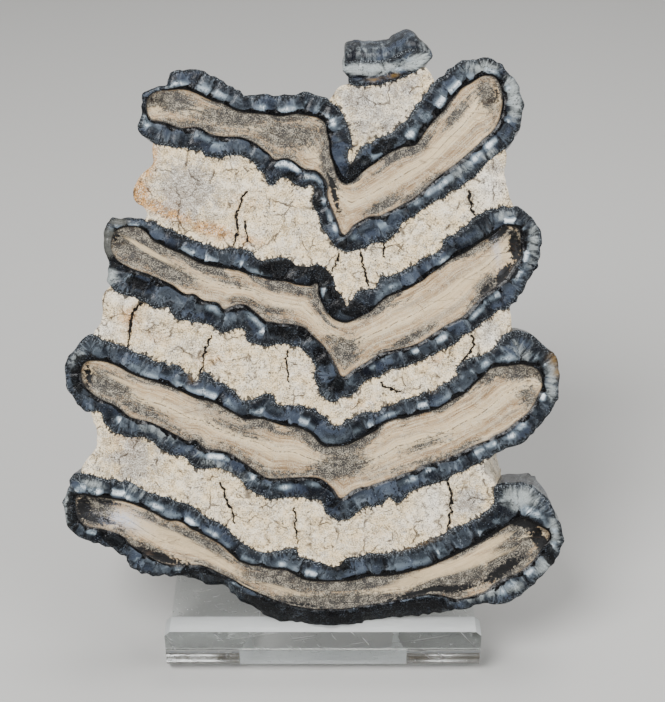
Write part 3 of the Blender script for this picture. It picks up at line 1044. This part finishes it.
def slice_mesh(sizes):
    """The closed slab: cut face, sides in levels, and back, with the facts of each point."""
    rng = np.random.default_rng(SEED)
    loops, lines = tooth_loops(rng), crack_lines(rng)
    front, front_tris, front_owners = panel(loops, lines, sizes.grain / MM, rng)
    back, back_tris, back_owners = panel(loops, [], BACK_GRAIN, rng)
    front_tris, back_tris = wound_up(front, front_tris), wound_up(back, back_tris)
    front_in, front_hold = memberships(len(front), front_tris, front_owners, len(loops))
    back_in, back_hold = memberships(len(back), back_tris, back_owners, len(loops))
    facts, place = tissue_facts(front, front_in, loops, lines, np.random.default_rng(SEED + 1))
    back_facts, back_place = tissue_facts(back, back_in, loops, [], np.random.default_rng(SEED + 1))

    rim_edges = free_edges(front_tris)
    rim_points = np.unique(rim_edges)
    slot = {int(p): i for i, p in enumerate(rim_points)}
    _, partner = nearest(near_tree(back), front[rim_points])
    sideways = edge_normals(front, rim_edges)[rim_points]

    # points: the face, each level of the sides, the back
    levels = WALL_LEVELS[1:-1]
    flats = [slab_place(front, 0)] + [slab_place(front[rim_points], depth) for depth in levels]
    flats.append(slab_place(back, THICKNESS))
    side_count = len(rim_points)
    first_side = len(front)
    first_back = first_side + side_count * len(levels)
    push = np.zeros((first_back + len(back), 3))
    push[:first_side, 2] = -1
    push[rim_points] = np.column_stack([0.6 * sideways, np.full(side_count, -0.6)])
    for level in range(len(levels)):
        start = first_side + level * side_count
        push[start:start + side_count, :2] = sideways
    push[first_back:, 2] = 1
    zone = np.zeros(len(push))
    zone[first_side:first_back] = 1
    zone[first_back:] = 2
    zone[rim_points] = 0.5

    all_facts = {}
    for name, values in facts.items():
        side_values = np.tile(values[rim_points], len(levels))
        all_facts[name] = np.concatenate([values, side_values, back_facts[name]])
    side_tissue = edge_tissue(front_tris, tissue_of(front_hold), rim_edges)
    on_enamel = np.zeros(len(front), bool)
    on_enamel[rim_edges[side_tissue == ENAMEL_TISSUE].ravel()] = True
    side_band = np.where(on_enamel[rim_points], 0.45, 0)
    all_facts["band"][first_side:first_back] = np.tile(side_band, len(levels))
    all_facts["rim"][first_side:first_back] = np.tile(np.where(on_enamel[rim_points], 1.5, -3), len(levels))
    all_facts["crack"][first_side:first_back] = 5
    side_places = [place[rim_points] + (0, 0, -depth) for depth in levels]
    loop_all = np.concatenate([place, *side_places, back_place])

    # faces: the cut face, the sides, the back turned over
    faces = [front_tris]
    tissues = [tissue_of(front_hold)]
    rows = [rim_points] + [first_side + k * side_count + np.arange(side_count) for k in range(len(levels))]
    rows.append(first_back + partner)
    ends = np.array([[slot[int(a)], slot[int(b)]] for a, b in rim_edges])
    for upper, lower in zip(rows[:-1], rows[1:]):
        a, b = upper[ends[:, 0]], upper[ends[:, 1]]
        c, d = lower[ends[:, 0]], lower[ends[:, 1]]
        faces += [np.stack([a, c, b], 1), np.stack([b, c, d], 1)]
        tissues += [side_tissue, side_tissue]
    faces.append(first_back + back_tris[:, ::-1])
    tissues.append(tissue_of(back_hold))
    flat, faces, tissues = (np.concatenate(parts) for parts in (flats, faces, tissues))
    return flat, push, zone, all_facts, loop_all, faces, tissues


def edge_normals(points, edges):
    """Unit normals in the plane at the ends of the edges, which run counterclockwise."""
    normals = np.zeros((len(points), 2))
    for a, b in edges:
        way = points[b] - points[a]
        normals[a] += (way[1], -way[0])
        normals[b] += (way[1], -way[0])
    return normals / (np.linalg.norm(normals, axis=1)[:, None] + 1e-9)


def edge_tissue(triangles, tissue, edges):
    """Tissue of the triangle that each free edge belongs to."""
    owner = {}
    for k, (a, b, c) in enumerate(triangles.tolist()):
        owner[a, b] = owner[b, c] = owner[c, a] = k
    return np.array([tissue[owner[a, b]] for a, b in edges.tolist()])


def fit_to_node(points, node):
    """Moves points so that they lie where the node lies: level with its middle, its back and its top."""
    low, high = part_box(node)
    mine_low, mine_high = points.min(0), points.max(0)
    middle = (low[0] + high[0]) / 2 - (mine_low[0] + mine_high[0]) / 2
    return points + np.array([middle, high[1] - mine_high[1], high[2] - mine_high[2]])


def write_mesh(name, points, faces):
    mesh = bpy.data.meshes.new(name)
    mesh.vertices.add(len(points))
    mesh.vertices.foreach_set("co", np.ascontiguousarray(points, np.float32).ravel())
    mesh.loops.add(3 * len(faces))
    mesh.loops.foreach_set("vertex_index", np.ascontiguousarray(faces, np.int32).ravel())
    mesh.polygons.add(len(faces))
    mesh.polygons.foreach_set("loop_start", np.arange(0, 3 * len(faces), 3, dtype=np.int32))
    mesh.update(calc_edges=True)
    mesh.validate()
    return mesh


def write_floats(mesh, name, values, domain="POINT"):
    made = mesh.attributes.new(name, "FLOAT", domain)
    made.data.foreach_set("value", np.ascontiguousarray(values, np.float32))


def write_vectors(mesh, name, values):
    made = mesh.attributes.new(name, "FLOAT_VECTOR", "POINT")
    made.data.foreach_set("vector", np.ascontiguousarray(values, np.float32).ravel())


# Inputs of the relief, and the sizes that feed them
RELIEFS = {
    "Enamel ridge": "ridge", "Flute depth": "flute", "Pit depth": "pit", "Crack depth": "crack",
    "Hollow depth": "hollow", "Side relief": "side_relief",
}


def relief_tree(materials):
    """Moves each point along its push by the relief of its tissue, and gives each tissue its material."""
    tree = bpy.data.node_groups.new("slice relief", "GeometryNodeTree")
    tree.is_modifier = True
    tree.interface.new_socket(name="Geometry", in_out="INPUT", socket_type="NodeSocketGeometry")
    tree.interface.new_socket(name="Geometry", in_out="OUTPUT", socket_type="NodeSocketGeometry")
    for label in RELIEFS:
        made = tree.interface.new_socket(name=label, in_out="INPUT", socket_type="NodeSocketFloat")
        made.subtype = "DISTANCE"
    net = Net(tree)
    given, wanted = net.ends()
    place, loop = net.field("flat", "FLOAT_VECTOR"), net.field("loop", "FLOAT_VECTOR")
    rim, core, zone, pit = net.field("rim"), net.field("core"), net.field("zone"), given["Pit depth"]

    # enamel: a rounded ridge, lower where it has rotted, with grooves across it
    rise = net.step(rim, 0, 0.7) * net.step(core, 0.15, -0.45)
    rays = net.noise(net.vector("MULTIPLY", loop, (1, 1, 0.4)), 1.4, 3)
    ridge = rise * (1.05 - 0.45 * net.field("black")) * (0.72 + 0.5 * rays)
    groove = (1 - net.step(net.field("flute"), 0, 0.8)) * rise
    enamel = ridge * given["Enamel ridge"] - groove * given["Flute depth"]

    # cementum: pores and open cracks
    pores = net.step(net.noise(place, 0.95, 4, 0.65), 0.5, 0.36)
    coarse = net.noise(place, 0.35, 3) - 0.5
    gap = 1 - net.step(net.field("crack"), 0, 0.26)
    cement = (1.2 * coarse - pores) * pit - gap * given["Crack depth"]
    cement = cement * net.step(rim, -0.05, -0.5)

    # dentine: streaks along the plate, and rotted hollows
    across = streak_place(net, place, net.field("lane"), net.field("plate"), 0.12, 9)
    streaks = net.noise(across, 1, 3) - 0.55
    sunk = net.field("hollow") * (0.75 + 0.5 * net.noise(place, 1.2, 3)) * given["Hollow depth"]
    rot = net.field("rot") * net.noise(place, 1.6, 3) * pit
    dentine = (1.1 * streaks * pit - sunk - rot) * net.step(core, 0, 0.5)

    # sides: uneven, growth lines on the enamel
    lumps = net.noise(place, 0.55, 4, 0.6) - 0.5
    lines = net.noise(net.vector("MULTIPLY", place, (0.7, 0.7, 0.12)), 1.3, 3) - 0.5
    side = (lumps + lines) * given["Side relief"]

    face = (enamel + cement + dentine) * net.step(zone, 0.5, 0)
    on_side = net.step(zone, 0.2, 0.6) * net.step(zone, 2, 1.2)
    scaled = net.scaled(net.field("push", "FLOAT_VECTOR"), face + side * on_side)
    moved = net.node("GeometryNodeSetPosition", {"Geometry": given["Geometry"], "Offset": scaled}).outputs[0]
    made = net.node("GeometryNodeRealizeInstances", {"Geometry": moved}).outputs[0]
    made = set_materials(net, made, net.field("tissue"), materials)
    net.tree.links.new(made, wanted["Geometry"])
    return tree


def set_materials(net, geometry, number_field, materials):
    """Gives each face the material whose number its attribute holds."""
    for number, material in enumerate(materials):
        chosen = net.node(
            "FunctionNodeCompare", {0: number_field, 1: float(number), "Epsilon": 0.1}, data_type="FLOAT",
            operation="EQUAL",
        ).outputs[0]
        feeds = {"Geometry": geometry, "Selection": chosen, "Material": material}
        geometry = net.node("GeometryNodeSetMaterial", feeds).outputs[0]
    return geometry


def set_input(modifier, label, value):
    for item in modifier.node_group.interface.items_tree:
        if item.item_type == "SOCKET" and item.in_out == "INPUT" and item.name == label:
            modifier[item.identifier] = value


def plain_copy(source, name):
    """The evaluated object as a plain mesh piece; the source and its modifiers are removed."""
    graph = bpy.context.evaluated_depsgraph_get()
    mesh = bpy.data.meshes.new_from_object(source.evaluated_get(graph))
    bpy.data.objects.remove(source)
    mesh.name = name
    piece = bpy.data.objects.new(name, mesh)
    bpy.context.scene.collection.objects.link(piece)
    return piece


def shown(name, mesh):
    made = bpy.data.objects.new(name, mesh)
    bpy.context.scene.collection.objects.link(made)
    return made


class BuildSlice(bpy.types.Operator):
    """Builds the fossil slice in place of its plain solid"""
    bl_idname = "tooth_slice.build_slice"
    bl_label = "Tooth slice"

    def execute(self, context):
        sizes, looks = context.scene.slice_sizes, context.scene.slice_colours
        flat, push, zone, facts, place, faces, tissues = slice_mesh(sizes)
        mesh = write_mesh("slice blank", fit_to_node(stand_up(flat), "tooth_slice"), faces)
        write_vectors(mesh, "flat", flat)
        write_vectors(mesh, "push", turn_up(push))
        write_vectors(mesh, "loop", place)
        write_floats(mesh, "zone", zone)
        for name, values in facts.items():
            write_floats(mesh, name, values)
        write_floats(mesh, "tissue", tissues, "FACE")
        blank = shown("slice blank", mesh)
        speckle, hairlines = speckle_group(), hairline_group()
        materials = [
            cementum_material(looks, speckle, hairlines), enamel_material(looks, speckle),
            dentine_material(looks, speckle, hairlines),
        ]
        relief = blank.modifiers.new("relief", "NODES")
        relief.node_group = relief_tree(materials)
        for label, size in RELIEFS.items():
            set_input(relief, label, getattr(sizes, size))
        piece = plain_copy(blank, "fossil_tooth_slice")
        piece.data.shade_smooth()
        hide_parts("tooth_slice")
        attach(piece, "root")
        return {"FINISHED"}


# Shape of the stand

def side_view():
    """Corner points of the sheet's middle line, and of the leg's from its foot up to the plate's top."""
    lip_way = Vector((-math.sin(LIP_TILT), math.cos(LIP_TILT)))
    back_way = Vector((math.sin(LEAN), math.cos(LEAN)))
    lip_foot = Vector((SHEET / 2, SHEET / 2))
    lip_top = lip_foot + lip_way * (LIP_HEIGHT - SHEET / 2)
    seat = lip_top + lip_way * SLICE_GAP + Vector((-math.cos(LEAN), math.sin(LEAN))) * NOSE_DEPTH
    behind = seat + Vector((math.cos(LEAN), -math.sin(LEAN))) * (THICKNESS + SLICE_GAP + SHEET / 2)
    back_foot = behind + back_way * ((SHEET / 2 - behind.y) / back_way.y)
    back_top = back_foot + back_way * BACK_LENGTH
    hinge = back_foot + back_way * HINGE_HEIGHT
    leg_foot = Vector((hinge.x + LEG_REACH, 0))
    slope = math.atan2(hinge.y, LEG_REACH) - math.asin(SHEET / 2 / (hinge - leg_foot).length)
    leg_foot.y = SHEET / 2 * math.cos(slope)
    return [lip_top, lip_foot, back_foot, back_top], [leg_foot, hinge, back_top]


def rounded_line(corners):
    """A line through the corners with its bends rounded, and the start and end of each bend along it."""
    line = [corners[0]]
    marks = []
    for before, corner, after in zip(corners, corners[1:], corners[2:]):
        back, ahead = (before - corner).normalized(), (after - corner).normalized()
        half = math.acos(max(-1, min(1, back.dot(ahead)))) / 2
        centre = corner + (back + ahead).normalized() * (BEND_RADIUS / math.sin(half))
        start = corner + back * (BEND_RADIUS / math.tan(half)) - centre
        end = corner + ahead * (BEND_RADIUS / math.tan(half)) - centre
        sweep = math.atan2(start.x * end.y - start.y * end.x, start.dot(end))
        marks.append(len(line))
        for step in range(BEND_STEPS + 1):
            angle = sweep * step / BEND_STEPS
            turned = Vector((
                start.x * math.cos(angle) - start.y * math.sin(angle),
                start.x * math.sin(angle) + start.y * math.cos(angle),
            ))
            line.append(centre + turned)
        marks.append(len(line) - 1)
    line.append(corners[-1])
    run = np.concatenate([[0], np.cumsum([(b - a).length for a, b in zip(line, line[1:])])])
    return line, run, [float(run[m]) for m in marks]


def arc(x, y, radius, start, steps=6):
    angles = [start + math.pi / 2 * i / steps for i in range(steps + 1)]
    return [(x + radius * math.cos(angle), y + radius * math.sin(angle)) for angle in angles]


def mirrored(points):
    return [(-x, y) for x, y in points]


def blank_sheet(total, bends, hinge_at, tongue_end, hole_end):
    """The flat sheet before bending, sawn around the tongue: x across, y along the sheet's middle line."""
    half = STAND_WIDTH / 2
    top_half = half - BACK_LENGTH * math.tan(BACK_TAPER)
    wide_until = bends[3]
    outline = [(FOOT_CHAMFER - half, 0), (half - FOOT_CHAMFER, 0), (half, FOOT_CHAMFER), (half, wide_until)]
    outline += arc(top_half - CORNER_RADIUS + CORNER_OUT, total - CORNER_RADIUS, CORNER_RADIUS, 0)
    outline += arc(CORNER_RADIUS - CORNER_OUT - top_half, total - CORNER_RADIUS, CORNER_RADIUS, math.pi / 2)
    outline += [(-half, wide_until), (-half, FOOT_CHAMFER)]
    open_half, slot_top = TONGUE_HALF + SAW_CUT, hinge_at + SLOT_ABOVE
    right = [
        (open_half, slot_top), (open_half, hole_end + FLARE_LENGTH), (open_half + FLARE, hole_end),
    ]
    inner = [
        (TONGUE_HALF + FLARE, tongue_end), (TONGUE_HALF, tongue_end + FLARE_LENGTH),
        (TONGUE_HALF, slot_top),
    ]
    kerf = mirrored(right) + right[::-1] + inner[::-1] + mirrored(inner)
    return outline, kerf


def flat_mesh(outline, kerf, cuts):
    """Triangles of the sheet without the saw's cut, with straight cross lines where it will bend."""
    points = [Vector(p) for p in outline + kerf]
    faces = [turning_left(outline), turning_left(kerf, len(outline))]
    edges = []
    for y in cuts:
        start = len(points)
        points += [Vector((-STAND_WIDTH, y)), Vector((STAND_WIDTH, y))]
        edges.append((start, start + 1))
    made = delaunay_2d_cdt(points, edges, faces, 1, 1e-5, True)
    kept = [face for face, held in zip(made[2], made[5]) if 0 in held and 1 not in held]
    corners = np.array([(p.x, p.y, 0) for p in made[0]])
    used = np.unique(np.array(kept))
    again = {int(old): new for new, old in enumerate(used)}
    faces = np.array([[again[v] for v in face] for face in kept])
    return corners[used], wound_up(corners[used], faces)


def bend_tree(materials):
    """Bends a flat sheet so that its length follows one side view, and its tongue another."""
    tree = bpy.data.node_groups.new("bend sheet", "GeometryNodeTree")
    tree.is_modifier = True
    tree.interface.new_socket(name="Geometry", in_out="INPUT", socket_type="NodeSocketGeometry")
    tree.interface.new_socket(name="Geometry", in_out="OUTPUT", socket_type="NodeSocketGeometry")
    for label in ("Sheet side view", "Tongue side view"):
        tree.interface.new_socket(name=label, in_out="INPUT", socket_type="NodeSocketObject")
    net = Net(tree)
    given, wanted = net.ends()
    here = net.node("ShaderNodeSeparateXYZ", {0: net.node("GeometryNodeInputPosition").outputs[0]}).outputs
    places = []
    for label, run in (("Sheet side view", here["Y"]), ("Tongue side view", net.field("leg_run"))):
        line = net.node("GeometryNodeObjectInfo", {"Object": given[label]}).outputs["Geometry"]
        sample = net.node("GeometryNodeSampleCurve", {"Curves": line}, mode="LENGTH", use_all_curves=True)
        net.feed(sample.inputs["Length"], run)
        normal = net.vector("CROSS_PRODUCT", (1, 0, 0), sample.outputs["Tangent"])
        lift = net.scaled(normal, here["Z"])
        across = net.node("ShaderNodeCombineXYZ", {"X": here["X"]}).outputs[0]
        places.append(net.vector("ADD", net.vector("ADD", sample.outputs["Position"], lift), across))
    chosen = net.node("ShaderNodeMix", data_type="VECTOR")
    ends = [socket for socket in chosen.inputs if socket.type == "VECTOR" and socket.name in ("A", "B")]
    net.feed(chosen.inputs[0], net.field("tongue"))
    net.feed(ends[0], places[0])
    net.feed(ends[1], places[1])
    place = next(socket for socket in chosen.outputs if socket.type == "VECTOR")
    moved = net.node("GeometryNodeSetPosition", {"Geometry": given["Geometry"], "Position": place}).outputs[0]
    made = net.node("GeometryNodeRealizeInstances", {"Geometry": moved}).outputs[0]
    made = set_materials(net, made, net.field("sawn"), materials)
    net.tree.links.new(made, wanted["Geometry"])
    return tree


def line_object(name, line):
    curve = bpy.data.curves.new(name, "CURVE")
    curve.dimensions = "3D"
    spline = curve.splines.new("POLY")
    spline.points.add(len(line) - 1)
    for point, (y, z) in zip(spline.points, line):
        point.co = (0, y * MM, z * MM, 1)
    return shown(name, curve)


def acrylic_place(net):
    """Place in millimetres on the stand."""
    return net.vector("MULTIPLY", net.node("ShaderNodeTexCoord").outputs["Object"], (1000, 1000, 1000))


def acrylic_material(scratches):
    """Clear, with fine scratches and hazy patches in its polish."""
    made, net, surface = new_material("clear acrylic")
    place = acrylic_place(net)
    marks = use_group(net, scratches, place, 2.4)
    smears = net.step(net.noise(place, 0.16, 4, 0.6), 0.42, 0.7)
    surface["Base Color"].default_value = (0.95, 0.975, 0.97, 1)
    rough = 0.025 + (0.3 * marks + 0.12 * smears)
    net.feed(surface["Roughness"], rough)
    surface["Transmission Weight"].default_value = 1
    surface["IOR"].default_value = 1.49
    net.feed(surface["Normal"], bump(net, marks, 0.06 * MM, 0.7))
    return made


def sawn_material(scratches, haze):
    """Whitened by the saw, with its marks across the edge."""
    made, net, surface = new_material("sawn acrylic")
    place = acrylic_place(net)
    saw = net.noise(net.vector("MULTIPLY", place, (0.25, 1.2, 3.0)), 1.4, 4, 0.6)
    marks = use_group(net, scratches, place, 3.2)
    surface["Base Color"].default_value = (0.86, 0.89, 0.89, 1)
    net.feed(surface["Roughness"], haze - 0.14 + 0.3 * saw)
    surface["Transmission Weight"].default_value = 0.72
    surface["IOR"].default_value = 1.49
    height = saw + 0.4 * marks
    net.feed(surface["Normal"], bump(net, height, 0.12 * MM, 0.8))
    return made


class BuildStand(bpy.types.Operator):
    """Builds the clear bent stand in place of its plain solid"""
    bl_idname = "tooth_slice.build_stand"
    bl_label = "Acrylic stand"

    def execute(self, context):
        sizes = context.scene.stand_sizes
        main_corners, leg_corners = side_view()
        main, run, bends = rounded_line(main_corners)
        leg, leg_run, _ = rounded_line(leg_corners)
        total, leg_total = float(run[-1]), float(leg_run[-1])
        hinge_at = total - (BACK_LENGTH - HINGE_HEIGHT)
        hole_end = bends[1] + HOLE_FRONT - main[BEND_STEPS + 1].x
        tongue_end = hole_end + SAW_CUT
        hinge_bend = (hinge_at - HINGE_BELOW, hinge_at + SLOT_ABOVE - BEND_SHORT)
        stretches = (bends[0:2], bends[2:4], hinge_bend)
        cuts = [y for stretch in stretches for y in np.linspace(*stretch, BEND_STEPS + 1)]
        points, faces = flat_mesh(*blank_sheet(total, bends, hinge_at, tongue_end, hole_end), cuts)
        mesh = write_mesh("sheet blank", points * MM, faces)
        blank = shown("sheet blank", mesh)
        thick = blank.modifiers.new("thickness", "SOLIDIFY")
        thick.thickness = sizes.sheet
        thick.offset = 0
        thick.material_offset_rim = 1
        edge = blank.modifiers.new("scraped edge", "BEVEL")
        edge.width = sizes.edge
        edge.segments = 2
        edge.limit_method = "ANGLE"
        edge.angle_limit = math.radians(50)
        scratches = scratch_group()
        materials = (acrylic_material(scratches), sawn_material(scratches, sizes.haze))
        for material in materials:
            mesh.materials.append(material)
        slab = plain_copy(blank, "flat sheet")
        self.mark_tongue(slab.data, hinge_at, tongue_end, hole_end, total, leg_total)
        write_floats(slab.data, "sawn", [face.material_index for face in slab.data.polygons], "FACE")
        lines = [line_object("sheet side view", main), line_object("tongue side view", leg)]
        bend = slab.modifiers.new("bend", "NODES")
        bend.node_group = bend_tree(materials)
        set_input(bend, "Sheet side view", lines[0])
        set_input(bend, "Tongue side view", lines[1])
        piece = plain_copy(slab, "bent_acrylic_stand")
        for line in lines:
            bpy.data.objects.remove(line)
        self.seat(piece)
        smooth_by_angle(piece.data, math.radians(35))
        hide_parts("acrylic_stand")
        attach(piece, "root")
        return {"FINISHED"}

    def mark_tongue(self, mesh, hinge_at, tongue_end, hole_end, total, leg_total):
        """Which points are the tongue's, and how far each lies along the leg's side view."""
        count = len(mesh.vertices)
        places = np.empty(3 * count, np.float32)
        mesh.vertices.foreach_get("co", places)
        x, y = np.abs(places[0::3]) / MM, places[1::3] / MM
        flare = np.clip((hole_end + FLARE_LENGTH + FLARE_SLACK - y) / FLARE_LENGTH, 0, 1)
        inside = x < TONGUE_HALF + SAW_CUT / 2 + FLARE * flare
        inside &= (y < hinge_at + SLOT_ABOVE - MARK_SHORT) & (y > tongue_end - SAW_CUT / 2)
        below = np.clip(hinge_at - y, 0, None)
        stretch = (leg_total - (total - hinge_at)) / (hinge_at - tongue_end)
        leg_length = leg_total - (total - hinge_at) - below * stretch
        along = np.where(y > hinge_at, y - (total - leg_total), leg_length)
        write_floats(mesh, "tongue", inside)
        write_floats(mesh, "leg_run", along * MM)

    def seat(self, piece):
        """Puts the stand where its solid stands."""
        low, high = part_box("acrylic_stand")
        corners = [Vector(v.co) for v in piece.data.vertices]
        mine_low = Vector(min(c[k] for c in corners) for k in range(3))
        mine_high = Vector(max(c[k] for c in corners) for k in range(3))
        middle = (low[0] + high[0] - mine_low[0] - mine_high[0]) / 2
        shift = Vector((middle, low[1] - mine_low[1], low[2] - mine_low[2]))
        for vertex in piece.data.vertices:
            vertex.co += shift


def smooth_by_angle(mesh, limit):
    mesh.shade_smooth()
    mesh.set_sharp_from_angle(angle=limit)


class BuildStage(bpy.types.Operator):
    """Sets the pale floor, the soft lights and the camera"""
    bl_idname = "tooth_slice.build_stage"
    bl_label = "Stage"

    def execute(self, context):
        looks = context.scene.stage_looks
        self.floor(looks)
        self.lights(context, looks)
        self.camera(context, looks)
        return {"FINISHED"}

    def floor(self, looks):
        made, net, surface = new_material("floor")
        net.feed(surface["Base Color"], looks.floor)
        surface["Roughness"].default_value = 0.75
        corners = [(x * FLOOR_HALF, y * FLOOR_HALF, 0) for x, y in ((-1, -1), (1, -1), (1, 1), (-1, 1))]
        mesh = bpy.data.meshes.new("floor")
        mesh.from_pydata(corners, [], [(0, 1, 2, 3)])
        mesh.materials.append(made)
        shown("floor", mesh)

    def lights(self, context, looks):
        world = bpy.data.worlds.new("studio")
        world.use_nodes = True
        back = world.node_tree.nodes["Background"]
        back.inputs["Color"].default_value = SKY
        back.inputs["Strength"].default_value = SKY_STRENGTH
        context.scene.world = world
        for name, (place, size, share) in LAMPS.items():
            light = bpy.data.lights.new(name, "AREA")
            light.shape = "DISK"
            light.size = size
            light.energy = looks.power * share
            lamp = shown(name, light)
            lamp.location = place
            lamp.rotation_euler = (Vector(LAMP_AIM) - Vector(place)).to_track_quat("-Z", "Y").to_euler()

    def camera(self, context, looks):
        away = Vector((0, -math.cos(looks.elevation), math.sin(looks.elevation)))
        camera = bpy.data.cameras.new("camera")
        camera.sensor_fit = "HORIZONTAL"
        camera.sensor_width = 36
        camera.lens = looks.lens
        camera.clip_start = 0.01
        held = shown("camera", camera)
        held.location = Vector(VIEW_AIM) + away * looks.distance
        held.rotation_euler = (-away).to_track_quat("-Z", "Y").to_euler()
        context.scene.camera = held


class SlicePanel(bpy.types.Panel):
    """Sizes, colours and steps of the tooth slice"""
    bl_idname = "VIEW3D_PT_tooth_slice"
    bl_label = "Tooth slice"
    bl_space_type = "VIEW_3D"
    bl_region_type = "UI"
    bl_category = "Tooth slice"

    def draw(self, context):
        for group, operator in GROUPS:
            box = self.layout.box()
            for owner in group:
                settings = getattr(context.scene, owner)
                for name in settings.bl_rna.properties.keys():
                    if name not in ("rna_type", "name"):
                        box.prop(settings, name)
            box.operator(operator.bl_idname)


GROUPS = (
    (("slice_sizes", "slice_colours"), BuildSlice),
    (("stand_sizes",), BuildStand),
    (("stage_looks",), BuildStage),
)
SETTINGS = {
    "slice_sizes": SliceSizes, "slice_colours": SliceColours, "stand_sizes": StandSizes,
    "stage_looks": StageLooks,
}
CLASSES = (*SETTINGS.values(), BuildSlice, BuildStand, BuildStage, SlicePanel)


def register():
    for each in CLASSES:
        bpy.utils.register_class(each)
    for name, group in SETTINGS.items():
        setattr(bpy.types.Scene, name, PointerProperty(type=group))


def unregister():
    for name in SETTINGS:
        delattr(bpy.types.Scene, name)
    for each in reversed(CLASSES):
        bpy.utils.unregister_class(each)


def main():
    register()
    bpy.ops.tooth_slice.build_stage()
    bpy.ops.tooth_slice.build_stand()
    bpy.ops.tooth_slice.build_slice()
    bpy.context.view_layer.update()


if __name__ == "__main__":
    main()
